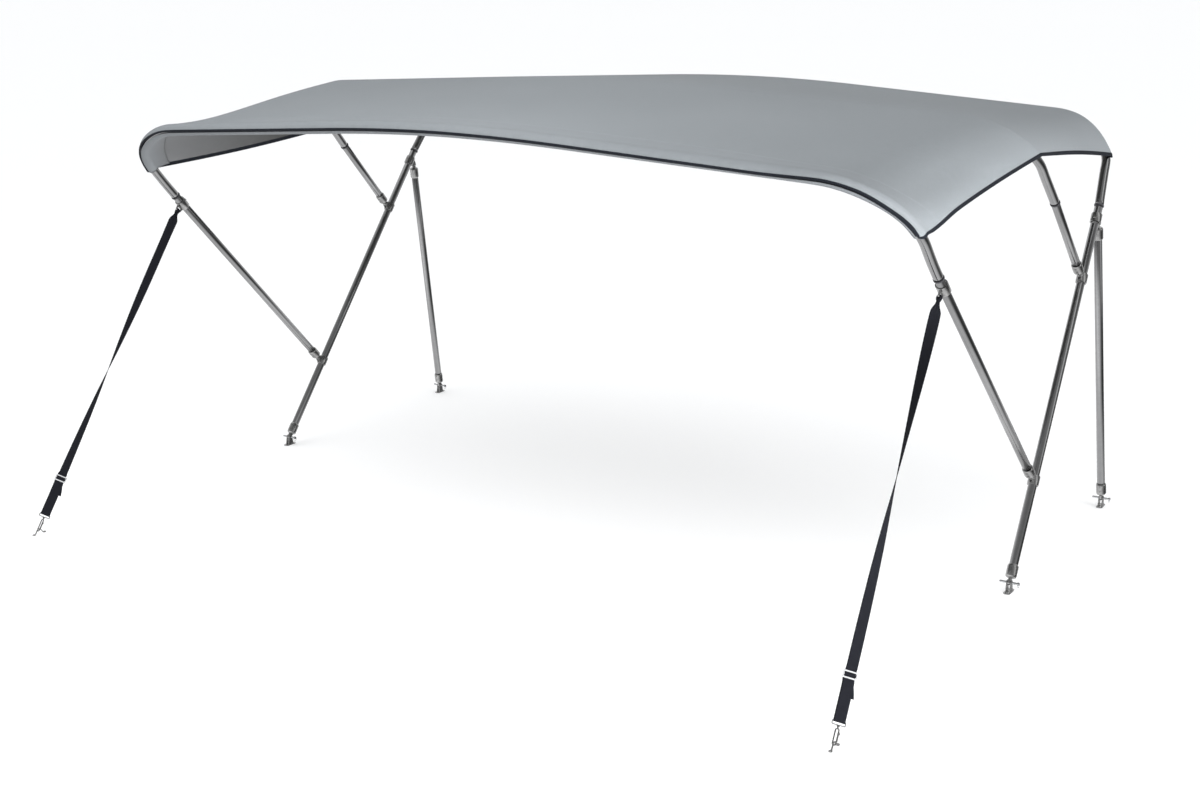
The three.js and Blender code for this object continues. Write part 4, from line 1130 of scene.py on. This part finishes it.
pocket, pocket_cut, pocket_area = grid_cloth("front_pocket", grid_across(pocket_row, POCKET_INSET), POCKET_T,
                                             [POCKET_PAINTED_SHADE], ["front_bow_pocket"])

# %% [markdown]
# Stitches
#
# Lock stitches follow one another a few millimetres apart. One stitch is a little faceted seed, and the
# same seed is laid along each seam: on both faces of the binding, and on top of the roof above the rear
# edge of the pocket. Joined into one mesh they cost little and still catch the light one by one.

# %% Stitches
STITCH_PITCH = 6.0
STITCH_LENGTH = 3.6
STITCH_R = 0.32
SEED_FACES = ((0, 2, 4), (0, 4, 3), (0, 3, 5), (0, 5, 2), (1, 4, 2), (1, 3, 4), (1, 5, 3), (1, 2, 5))


def stitches(name, lines, material, stands_for):
    """lines holds seams; each is a list of (point, normal) that the stitches follow."""
    points, faces = [], []
    for line in lines:
        run = running([point for point, _ in line])
        for k in range(1, int(run[-1] / STITCH_PITCH)):
            i, t = reached(run, k * STITCH_PITCH)
            (before, _), (after, normal) = line[i - 1:i + 1]
            here, ahead = before.lerp(after, t), (after - before).normalized()
            across = ahead.cross(normal).normalized()
            faces += [tuple(len(points) + n for n in face) for face in SEED_FACES]
            for step in (ahead * STITCH_LENGTH / 2, normal * STITCH_R, across * STITCH_R):
                points += [in_metres(here + step), in_metres(here - step)]
    mesh = bpy.data.meshes.new(name)
    mesh.from_pydata(points, [], faces)
    mesh.uv_layers.new(name="metres")
    print(name, len(faces) // len(SEED_FACES), "stitches")
    return piece(name, mesh, [material], stands_for)


SEAM_FROM_TIP = 1.8
STITCH_PROUD = 0.1
SEAM_IN = -BIND_GAP - BIND_T - SEAM_FROM_TIP
seam_up = CLOTH_T / 2 + BIND_GAP + BIND_T + STITCH_PROUD
rim_seams = [[(p + w.normalized() * (wide + SEAM_IN) + n * up, n) for p, w, n, wide in RIM + RIM[:1]]
             for up in (seam_up, -seam_up)]
binding_stitches = stitches("binding_stitches", rim_seams, BLACK_THREAD, ["edge_binding"])


def pocket_seam(back):
    """A seam on top of the roof, straight above the rear edge of the pocket."""
    line = []
    for c in range(1, EDGE):
        point, i = part_way([row[c] for row in roof[FRONT_PANEL_ROW:FRONT_PANEL_ROW + PANEL_STEPS]], back)
        normal = sheet_normal(roof, FRONT_PANEL_ROW + i, c)
        normal *= 1 if normal.z > 0 else -1
        line.append((point + normal * (CLOTH_T / 2 + STITCH_PROUD), normal))
    return line


pocket_stitches = stitches("pocket_stitches", [pocket_seam(POCKET_BACK - back) for back in (3, 8)], THREAD,
                           ["canopy"])

# %% [markdown]
# Fittings
#
# Every fitting is drawn once in millimetres about its own pin or tube axis, and the same mesh is then
# placed wherever the frame needs it. Three ways of making metal cover them all: a profile turned round an
# axis, a flat outline with holes cut from plate, and a round wire bent along a line.

# %% Ways of making a fitting
SHARP_ABOVE = 35


def moved(x=0.0, y=0.0, z=0.0):
    return Matrix.Translation((x, y, z))


def spun(axis, turn=90):
    return Matrix.Rotation(math.radians(turn), 4, axis)


def turned(profile, sides=36):
    """Closed profile of (radius, height) turned round Z."""
    rows = [[(r * math.cos(a), r * math.sin(a), z) for a in turns(sides)] for r, z in profile]
    return skin("turned", rows, around=True, along=True)


def cut_plate(outlines, thick, ease=0.4):
    """Flat plate in X and Y with its holes, 'thick' through Z about zero, edges eased."""
    curve = bpy.data.curves.new("cut plate", "CURVE")
    shape = {"dimensions": "2D", "fill_mode": "BOTH", "extrude": thick / 2 - ease, "bevel_depth": ease,
             "bevel_resolution": 2, "offset": -ease}
    for key, value in shape.items():
        setattr(curve, key, value)
    for outline in outlines:
        line = curve.splines.new("POLY")
        line.points.add(len(outline) - 1)
        for point, (x, y) in zip(line.points, outline):
            point.co = (x, y, 0, 1)
        line.use_cyclic_u = True
    holder = bpy.data.objects.new("cut plate", curve)
    mesh = bpy.data.meshes.new_from_object(holder)
    bpy.data.objects.remove(holder)
    return mesh


def bent_wire(line, radius, closed=False, sides=14, tilt=(0, 1, 0)):
    """Round wire along points; 'tilt' is a direction square to the whole line."""
    tilt, line = Vector(tilt), [Vector(point) for point in line]
    rows, n = [], len(line)
    for i, point in enumerate(line):
        before = line[i - 1] if closed or i else point
        after = line[(i + 1) % n] if closed or i + 1 < n else point
        side = tilt.cross((after - before).normalized()).normalized()
        rows.append([point + (side * math.cos(a) + tilt * math.sin(a)) * radius for a in turns(sides)])
    return skin("bent wire", rows, around=closed, along=True, caps=not closed)


def arc(cx, cy, r, start, end, steps=8):
    angles = [math.radians(mix(start, end, i / steps)) for i in range(steps + 1)]
    return [(cx + r * math.cos(a), cy + r * math.sin(a)) for a in angles]


def hole(x, y, r):
    return arc(x, y, r, 0, 345, 23)


def mirrored(points):
    """The other half of an outline that is the same on both sides of its first direction."""
    return [(-x, y) for x, y in reversed(points)]


def standing(x):
    """Turns a plate drawn in (Y, Z) so that it stands across X at this distance."""
    return moved(x) @ Matrix(((0, 0, 1, 0), (1, 0, 0, 0), (0, 1, 0, 0), (0, 0, 0, 1)))


def fitting(name, *parts):
    """Joins meshes, or (mesh, placing matrix) pairs, drawn in millimetres, into one mesh in metres."""
    joined = bmesh.new()
    for part in parts:
        mesh, place = part if isinstance(part, tuple) else (part, Matrix.Identity(4))
        mesh.transform(place)
        joined.from_mesh(mesh)
        bpy.data.meshes.remove(mesh)
    bmesh.ops.recalc_face_normals(joined, faces=joined.faces)
    bmesh.ops.scale(joined, vec=(MM, MM, MM), verts=joined.verts)
    result = bpy.data.meshes.new(name)
    joined.to_mesh(result)
    joined.free()
    for face in result.polygons:
        face.use_smooth = True
    result.set_sharp_from_angle(angle=math.radians(SHARP_ABOVE))
    print(name, len(result.polygons), "faces")
    return result


print("fittings can be turned, cut or bent")

# %% Screws and bolts
FACE_Y = spun("X", -90)
FACE_X = spun("Y")
BOLT_R = 3.0


def hexagon(r, turn=0):
    return arc(0, 0, r, turn, turn + 300, 5)


def socket_screw(radius, low, high, place):
    """A round screw head with a six-sided socket, standing from 'low' to 'high' along Z."""
    ring = cut_plate([hole(0, 0, radius), hexagon(radius * 0.5)], high - low, 0.3)
    floor = turned([(0, 0), (radius * 0.7, 0), (radius * 0.7, 0.4), (0, 0.4)], 12)
    return [(ring, place @ moved(z=(low + high) / 2)), (floor, place @ moved(z=low + (high - low) * 0.35))]


def cross_bolt(reach, y, z):
    """A bolt through two ears, along X: a domed head on one side and a nut on the other."""
    at = moved(0, y, z) @ FACE_X
    shank = turned([(0, 1 - reach), (BOLT_R, 1 - reach), (BOLT_R, reach - 1), (0, reach - 1)], 20)
    dome = turned([(0, reach - 2), (5, reach - 2), (5, reach - 1.2), (4.2, reach - 0.5), (2.4, reach),
                   (0, reach + 0.1)])
    nut = cut_plate([hexagon(5.2, 10)], 2.2, 0.4)
    return [(shank, at), (dome, at), (nut, at @ moved(z=1.1 - reach))]


print("socket screw and cross bolt are ready")

# %% [markdown]
# Eye ends
#
# A sleeve slips over the end of each leg and is locked by two small socket screws. Below its shoulder the
# metal narrows to a flat tongue with a hole for the pin.

# %% Eye end
CUP_R, CUP_FROM, CUP_TO = 14.0, 12.0, 47.0
TONGUE_R, TONGUE_T, HOLE_R = 7.0, 6.0, 3.8
BORE_R = LEG_R + 0.25
CUP_SCREWS_AT = (25, 39)


def eye_end():
    shoulder = [(0, 0), (7.5, 0), (10.6, 0.7), (12.8, 2.4), (13.8, 4.8), (CUP_R, 8)]
    mouth = [(CUP_R, -4.0), (CUP_R - 0.5, -2.8), (BORE_R + 0.7, -0.2), (BORE_R + 0.4, 0), (BORE_R, 0)]
    cup = turned([(r, CUP_FROM + up) for r, up in shoulder] + [(r, CUP_TO + up) for r, up in mouth]
                 + [(BORE_R, CUP_FLOOR), (0, CUP_FLOOR)], 48)
    flank = [(TONGUE_R, 8), (TONGUE_R + 0.8, 11), (TONGUE_R + 2.2, 13.5)]
    outline = arc(0, 0, TONGUE_R, 180, 360, 20) + flank + mirrored(flank)
    tongue = cut_plate([outline, hole(0, 0, HOLE_R)], TONGUE_T, 0.6)
    screws = [part for z in CUP_SCREWS_AT for part in socket_screw(2.7, 12.8, 15.0, moved(z=z) @ FACE_Y)]
    return fitting("eye_end", cup, (tongue, standing(0)), *screws)


EYE_END = eye_end()

# %% [markdown]
# Sliding jaws and the strap slide
#
# The lower bows hang on rings that slide on the rear bow. A ring is a short turned tube with two ears and
# a bolt for the eye end, and a locking screw on its far side. The strap slide is the same ring with a
# slotted tab instead of ears.

# %% Slides
SLIDE_R, SLIDE_L = 14.5, 26.0
EAR_IN, EAR_T = 3.9, 2.4
EAR_START = 12.4


def slide_ring(length):
    rim = [(SLIDE_R, 1.1), (SLIDE_R - 0.3, 0.3), (SLIDE_R - 1.1, 0), (BORE_R + 0.4, 0), (BORE_R, 0.4)]
    half = length / 2
    return turned([(r, ease - half) for r, ease in reversed(rim)] + [(r, half - ease) for r, ease in rim], 48)


def ring_boss():
    """The thick spot with the locking screw, away from the ears."""
    boss = turned([(0, 12), (5.6, 12), (5.6, 14.9), (5.0, 15.4), (0, 15.4)], 28)
    return [(boss, spun("X"))] + socket_screw(3.0, 14.6, 16.5, spun("X"))


def ears(outlines):
    """Two plates that stand a tongue's thickness apart."""
    return [(cut_plate(outlines, EAR_T, 0.5), standing(s * (EAR_IN + EAR_T / 2))) for s in (1, -1)]


def jaw_slide():
    outline = [(EAR_START, -12.2)] + arc(PIVOT_OUT, 0, TONGUE_R, -62, 62, 16) + [(EAR_START, 12.2)]
    return fitting("jaw_slide", slide_ring(SLIDE_L), *ears([outline]), *cross_bolt(8.3, PIVOT_OUT, 0),
                   *ring_boss())


def strap_slide():
    outline = [(EAR_START, -12.6)] + arc(23.5, -5, 5, -60, 0) + arc(23.5, 5, 5, 0, 60) + [(EAR_START, 12.6)]
    corners = ((23.2, 4.7, 0), (19.2, 4.7, 90), (19.2, -4.7, 180), (23.2, -4.7, 270))
    slot = [point for x, y, start in corners for point in arc(x, y, 1.8, start, start + 90, 5)]
    tab = cut_plate([outline, slot], 4.4, 0.9)
    return fitting("strap_slide", slide_ring(SLIDE_L + 4), (tab, standing(0)), *ring_boss())


JAW_SLIDE = jaw_slide()
STRAP_SLIDE = strap_slide()

# %% [markdown]
# Deck hinges and their pins
#
# A hinge is a small plate with rounded ends and two screw holes, and two tapered ears that hold the eye end
# between them. A straight pin with a split ring goes through, so that the bow can be taken off in seconds.
# The screw holes stay open, because they are where somebody fastens the part to a deck.

# %% Deck hinge
PLATE_T = 2.5
SCREW_AT, SCREW_R = 16, 2.3
PIN_REACH, SPLIT_R = 26.0, 5.8


def deck_hinge():
    base = arc(0, 14, 9, 0, 180, 18) + arc(0, -14, 9, 180, 360, 18)
    plate = cut_plate([base] + [hole(0, s * SCREW_AT, SCREW_R) for s in (1, -1)], PLATE_T, 0.5)
    foot = turned([(0, 1), (6.2, 1), (6.2, 2.6), (4.8, 3.6), (0, 3.6)], 28)
    outline = [(-11, 1.5), (11, 1.5), (10.4, 4)] + arc(0, PIN_UP, TONGUE_R, 8, 172, 18) + [(-10.4, 4)]
    return fitting("deck_hinge", (plate, moved(z=PLATE_T / 2)), foot,
                   *ears([outline, hole(0, PIN_UP, HOLE_R - 0.5)]))


def hinge_pin():
    tip = [(0, 0), (1.6, 0), (2.7, 1.6), (3, 2.4)]
    head = [(3, -5), (4.5, -5), (4.5, -0.8), (3.8, 0), (0, 0)]
    rod = turned([(r, x - PIN_REACH) for r, x in tip] + [(r, x + PIN_REACH) for r, x in head], 28)
    line = [(PIN_REACH - 2.5 + 0.4 * math.sin(2 * a), SPLIT_R * math.sin(a), SPLIT_R * math.cos(a) - 4.6)
            for a in turns(40)]
    return fitting("hinge_pin", (rod, FACE_X), bent_wire(line, 0.55, True, 10, tilt=(1, 0, 0)))


DECK_HINGE = deck_hinge()
HINGE_PIN = hinge_pin()

# %% [markdown]
# Placing the fittings
#
# The frame sizes say where each one goes. An eye end looks along its leg from its pin. A slide sits on
# the rear bow and turns its ears forward or aft.

# %% Fittings in place
BOAT_X = Vector((1, 0, 0))
# The pieces at each end of a leg or pole: (name, the CAD node without its side, pin, the far end)
EYE_ENDS = (("main_leg_end", "main_leg_eye_end", MAIN_FOOT, MAIN_JOINT),
            ("front_leg_end", "front_leg_eye_end", FRONT_PIVOT, FRONT_JOINT),
            ("mid_leg_end", "mid_leg_eye_end", MID_PIVOT, MID_JOINT),
            ("pole_foot_fitting", "rear_pole_foot_end", POLE_FOOT, REAR_PIVOT),
            ("pole_top_fitting", "rear_pole_top_end", REAR_PIVOT, POLE_FOOT))
CLAMPS = (("front_clamp", FRONT_CLAMP_AT, MAIN_FORE), ("mid_clamp", MID_CLAMP_AT, MAIN_FORE),
          ("rear_clamp", REAR_CLAMP_AT, -MAIN_FORE))


def upright(place):
    return Matrix.Translation(in_metres(place))


def placed(name, side_name, mesh, node, place, metal=STEEL):
    return piece(f"{name}_{side_name}", mesh, [metal], [f"{node}_{side_name}"], place)


for name, side in SIDES:
    for label, node, pin, end in EYE_ENDS:
        pin = on_side(pin, side)
        direction = on_side(end, side) - pin
        placed(label, name, EYE_END, node, frame_on(pin, direction, BOAT_X.cross(direction)))
    foot, joint = on_side(MAIN_FOOT, side), on_side(MAIN_JOINT, side)
    for label, at, towards in CLAMPS:
        place = frame_on(foot + (joint - foot) * (at / MAIN_LENGTH), joint - foot, towards)
        placed(f"{label}_slide", name, JAW_SLIDE, label, place)
    for label, low in (("main", MAIN_FOOT), ("pole", POLE_FOOT)):
        at = on_side(low, side)
        placed(f"{label}_hinge", name, DECK_HINGE, f"{label}_deck_hinge", upright((at.x, at.y, 0)))
        placed(f"{label}_pin", name, HINGE_PIN, f"{label}_hinge_pin", upright(at), BRIGHT)
    print("fittings on the", name)

# %% [markdown]
# Straps
#
# Two webbing straps pull the front bow down to the deck. Webbing is stiff across and easy along, so it
# turns slowly about its own length and never bends sideways. We list stations down the strap, each with a
# facing and a width, and carry one flat section along them. At the top, where the webbing is gathered to
# fit its narrow eye, the section is pleated, so that its real width stays the same.

# %% Strap section
WEB_W, WEB_T, NECK_W = 25.0, 1.4, 10.0
PLEATS = 6
SECTION_STEPS = 26
EDGE_PLACES = (0, 1, SECTION_STEPS - 1, SECTION_STEPS)


def web_section(width):
    """Across and facing offsets of the webbing's outline; narrower webbing is pleated."""
    pleat = math.sqrt(max(0.0, WEB_W ** 2 - width ** 2)) / (2 * PLEATS)
    top, under = [], []
    for i in range(SECTION_STEPS + 1):
        u = -math.cos(math.pi * i / SECTION_STEPS) if i in EDGE_PLACES else 2 * i / SECTION_STEPS - 1
        wave = pleat * math.sin(math.pi * PLEATS * (u + 1) / 2)
        half = WEB_T / 2 * (0.35 if i in (0, SECTION_STEPS) else 1)
        top.append((u * width / 2, wave + half))
        under.append((u * width / 2, wave - half))
    return top + under[::-1]


def web_piece(name, node, stations, closed=False):
    """A piece of webbing over stations of (point, wide, face, width)."""
    rows = [[point + wide * across + face * off for across, off in web_section(width)]
            for point, wide, face, width in stations]
    along = running([s[0] for s in stations], MM)
    along.append(along[-1] + 0.004)
    girth = [WEB_W * MM * i / SECTION_STEPS for i in range(SECTION_STEPS + 1)]
    girth += girth[::-1] + [0.0]
    mesh = skin_in_metres(name, rows, lambda r, c: (girth[c], along[r]), around=closed, along=True,
                          caps=not closed)
    return piece(name, mesh, [WEB], [node])


def softened(line):
    """Cuts the corners of a line of points twice, as webbing does at each turn."""
    for _ in range(2):
        cut = [line[0]]
        for a, b in zip(line, line[1:]):
            cut += [a.lerp(b, 0.25), a.lerp(b, 0.75)]
        line = cut + [line[-1]]
    return line


def squared(points, wide, width, closed=False):
    """Stations whose facing is square to the line through the points."""
    stations, n = [], len(points)
    for i, point in enumerate(points):
        before, after = (i - 1, (i + 1) % n) if closed else (max(i - 1, 0), min(i + 1, n - 1))
        ahead = (points[after] - points[before]).normalized()
        stations.append((point, wide, wide.cross(ahead).normalized(), width))
    return stations


print("webbing section", len(web_section(WEB_W)), "points")

# %% Strap turning
# Facing down the strap as (share of its length, degrees): 0 faces forward and 90 faces right
TWIST = {
    1: ((0, 90), (0.04, 32), (0.24, -28), (0.43, -66), (0.62, -108), (0.81, -134), (1, -140)),
    -1: ((0, 90), (0.04, 35), (0.24, 21), (0.43, -18), (0.62, -64), (0.81, -95), (1, -118)),
}


def smooth_turn(table, t):
    """A smooth curve through the table, with the slope at each entry taken from its neighbours."""
    i = max(1, min(len(table) - 1, sum(1 for at, _ in table if at < t)))

    def slope(k):
        a, b = table[max(k - 1, 0)], table[min(k + 1, len(table) - 1)]
        return (b[1] - a[1]) / (b[0] - a[0])

    (t0, a0), (t1, a1) = table[i - 1], table[i]
    h, s = t1 - t0, (t - t0) / (t1 - t0)
    return (a0 * (1 + 2 * s) * (1 - s) ** 2 + slope(i - 1) * h * s * (1 - s) ** 2
            + a1 * s * s * (3 - 2 * s) - slope(i) * h * s * s * (1 - s))


print("facing half way", round(smooth_turn(TWIST[1], 0.5)), round(smooth_turn(TWIST[-1], 0.5)))

# %% [markdown]
# Buckle, snap hook and pad eye
#
# The ladder buckle is a plate with two slots, so the webbing can weave through it and grip itself. The
# snap hook hangs on a bent wire loop and swivels on a turned stem. The pad eye is a round bar arched
# between two small feet, each with a screw hole.

# %% Strap hardware
HOOK_HALF, HOOK_R, HOOK_TOP, HOOK_LOW = 3.8, 1.7, -19.0, -45.2
LOOP_X, LOOP_Z, LOOP_R = 14.4, -8.25, 1.25
BUCKLE_X, BUCKLE_HALF_H, SLOT_X = 16.2, 8.25, 13.2
PAD_EYE_X, PAD_EYE_Y, PAD_EYE_HIGH = 1190.0, -1010.0, 15.0
PAD_WIRE_R, PAD_WIRE_WIDER, PAD_FOOT_T = 1.4, 1.35, 2.4
EYE_INSIDE = PAD_EYE_HIGH - 1.25


def rounded(half_x, z_low, z_high, r):
    """Closed rounded rectangle as (x, z) points."""
    corners = ((half_x - r, z_high - r, 0), (r - half_x, z_high - r, 90), (r - half_x, z_low + r, 180),
               (half_x - r, z_low + r, 270))
    return [p for x, z, start in corners for p in arc(x, z, r, start, start + 90, 6)]


def across_y(points):
    return [(x, 0, z) for x, z in points]


def ladder_buckle():
    slots = [rounded(SLOT_X, 1.1, 4.9, 0.9), rounded(SLOT_X, -4.9, -1.1, 0.9)]
    plate = cut_plate([rounded(BUCKLE_X, -BUCKLE_HALF_H, BUCKLE_HALF_H, 3)] + slots, 2.5, 0.8)
    return fitting("ladder_buckle", (plate, spun("X")))


def wire_loop():
    return fitting("wire_loop", bent_wire(across_y(rounded(LOOP_X, LOOP_Z, 0, 2.2)), LOOP_R, True, 16))


def snap_hook(turn):
    stem = [(0, -17.2), (2.2, -17.2), (2.8, -16.4), (2.8, -14.6), (1.7, -13.8), (1.7, -12.4), (3.2, -11.6),
            (3.4, -10.4), (3.2, -9.4), (2.2, -8.6), (2.2, -7.4), (0, -7)]
    ring = arc(0, HOOK_TOP, HOOK_HALF, 0, 180, 14) + arc(0, HOOK_LOW, HOOK_HALF, 180, 360, 14)
    gate = [(HOOK_HALF + 0.3, z) for z in (HOOK_TOP - 2.5, HOOK_TOP - 12, HOOK_LOW + 3)]
    thumb = [(HOOK_HALF + out, HOOK_TOP - low) for out, low in ((1, 4), (3.4, 5.6), (3.8, 9))]
    wires = (bent_wire(across_y(ring), HOOK_R, True, 16), bent_wire(across_y(gate), HOOK_R + 0.35, sides=16),
             bent_wire(across_y(thumb), 0.9, sides=12))
    around = Matrix.Rotation(turn, 4, "Z")
    return fitting("snap_hook", turned(stem, 28), *((wire_mesh, around) for wire_mesh in wires))


def pad_eye():
    foot = arc(17.8, 0, 4.4, -90, 90, 14) + [(14.4, 3.4), (12.6, 2.2), (12.6, -2.2), (14.4, -3.4)]
    feet = [(cut_plate([foot, hole(18, 0, 2.1)], PAD_FOOT_T, 0.5), spun("Z", turn) @ moved(z=PAD_FOOT_T / 2))
            for turn in (90, 270)]
    high = EYE_INSIDE
    half = [(0, high), (2.4, high - 0.1), (4.6, high - 1.1), (6.2, high - 2.9), (8.0, high - 5.6), (9.9, 5.6),
            (11.6, 2.9), (13.2, PAD_WIRE_R), (15, PAD_WIRE_R)]
    line = [(0, y, z) for y, z in mirrored(half[1:]) + half]
    bar = bent_wire(line, PAD_WIRE_R, sides=16, tilt=(1, 0, 0))
    return fitting("pad_eye", *feet, (bar, Matrix.Diagonal((PAD_WIRE_WIDER, 1, 1, 1))))


BUCKLE = ladder_buckle()
WIRE_LOOP = wire_loop()
PAD_EYE = pad_eye()

# %% [markdown]
# The straps in place
#
# From the clamp on the front leg the webbing runs down, through the buckle, round the wire loop of the
# hook, back up through the buckle, and ends in a short free tail.

# %% Straps in place
CLAMP_BELOW_JOINT = 33.0
HOOK_L = 43.0
BUCKLE_UP = {1: 96.0, -1: 106.0}
NECK_RUN = 24.0
RUN_STEPS, RUN_SPARE = 140, 16
BAR_PITCH, BAR_HALF = 6.0, 1.8
WEAVE_OFF, FOLD_R = 2.45, 2.4
TAIL_OFF, TAIL_END, TAIL_ASKEW = -8.0, 45.0, 10.0
SLOT_NEAR, SLOT_FAR, LOOP_END = 23.8, 28.5, 36.5


def strap_loop(clamp_at, x, y, z):
    """Stations of the webbing that goes through the slot of its slide and back on itself."""
    line = [(0, SLOT_NEAR - 0.4), (3.0, SLOT_NEAR), (3.8, SLOT_FAR), (0.9, LOOP_END), (-0.9, LOOP_END),
            (-3.8, SLOT_FAR), (-3.0, SLOT_NEAR), (0, SLOT_NEAR - 0.4)]
    return squared(softened([clamp_at + x * a + y * b for a, b in line])[:-1], z, NECK_W, closed=True)


def strap_run(side, top, down, run, facing):
    """Stations of the long turning run, from the eye down to just above the buckle."""
    stations = []
    for i in range(RUN_STEPS + 1):
        at = (run - BUCKLE_UP[side] - RUN_SPARE) * i / RUN_STEPS
        face = facing(smooth_turn(TWIST[side], at / run))
        width = mix(NECK_W, WEB_W, smoothstep(at, 0, NECK_RUN))
        stations.append((top + down * at, down.cross(face), face, width))
    return stations


def strap_end(side, last, top, down, run, face):
    """Stations of the lower end, drawn as (up, off) beside the line of the strap."""
    b, p, h = BUCKLE_UP[side], BAR_PITCH, BAR_HALF
    weave = [(b + p + h, -WEAVE_OFF), (b + p - h, -WEAVE_OFF), (b + h, WEAVE_OFF), (b - h, WEAVE_OFF),
             (b - p + h, -WEAVE_OFF), (b - p - h, -WEAVE_OFF), (b - p - 12, FOLD_R), (20, FOLD_R),
             (0, FOLD_R)]
    fold = [(up, off) for off, up in arc(0, 0, FOLD_R, -20, -160, 6)]
    back = [(0, -FOLD_R), (20, -FOLD_R), (b - p - 12, -FOLD_R), (b - p - 4, -5), (b + 4, -5), (b + 5.8, -5.6),
            (b + 6, -7.4), (b + 4, TAIL_OFF), (b - 12, TAIL_OFF), (b - 30, TAIL_OFF - 0.8),
            (b - TAIL_END, TAIL_OFF - 2.2)]
    wide = down.cross(face)
    line = [last]
    for up, off in weave + fold + back:
        askew = TAIL_ASKEW * smoothstep(TAIL_OFF + 2 - off, 0, 1) * smoothstep(b - 8 - up, 0, TAIL_END - 8)
        line.append(top + down * (run - up) - face * off + wide * askew)
    return squared(softened(line)[1:], wide, WEB_W)


for name, side in SIDES:
    joint = on_side(FRONT_JOINT, side)
    leg = (joint - on_side(FRONT_PIVOT, side)).normalized()
    clamp_at = joint - leg * CLAMP_BELOW_JOINT
    placed("strap_slide", name, STRAP_SLIDE, "strap_clamp", frame_on(clamp_at, leg, FRONT.out))
    x, y, z = axes_on(leg, FRONT.out)
    top = clamp_at + y * (LOOP_END - 0.6)
    eye = Vector((side * PAD_EYE_X, PAD_EYE_Y, EYE_INSIDE))
    down = (eye - top).normalized()
    run = (eye - top).length - HOOK_L
    fore = (Vector((0, -1, 0)) + down * down.y).normalized()
    right = fore.cross(down).normalized()

    def facing(degrees):
        return fore * math.cos(math.radians(degrees)) + right * math.sin(math.radians(degrees))

    end_face = facing(TWIST[side][-1][1])
    stations = strap_run(side, top, down, run, facing)
    stations += strap_end(side, stations[-1][0], top, down, run, end_face)
    web_piece(f"strap_web_{name}", f"strap_{name}", stations)
    web_piece(f"strap_loop_{name}", f"strap_{name}", strap_loop(clamp_at, x, y, z), closed=True)
    buckle_place, hook_place = (frame_on(top + down * (run - up), -down, -end_face)
                                for up in (BUCKLE_UP[side], 0))
    boat_x = hook_place.to_3x3().inverted() @ BOAT_X
    hook = snap_hook(math.atan2(boat_x.y, boat_x.x))
    for label, mesh, node, place, metal in (
            ("ladder_buckle", BUCKLE, "strap_buckle", buckle_place, CHROME),
            ("hook_loop", WIRE_LOOP, "snap_hook", hook_place, BRIGHT),
            ("snap_hook_and_stem", hook, "snap_hook", hook_place, STEEL)):
        placed(label, name, mesh, node, place, metal)
    placed("pad_eye_bar", name, PAD_EYE, "pad_eye", upright((side * PAD_EYE_X, PAD_EYE_Y, 0)))
    print(name, "strap", round(run + HOOK_L), "mm from clamp to pad eye")
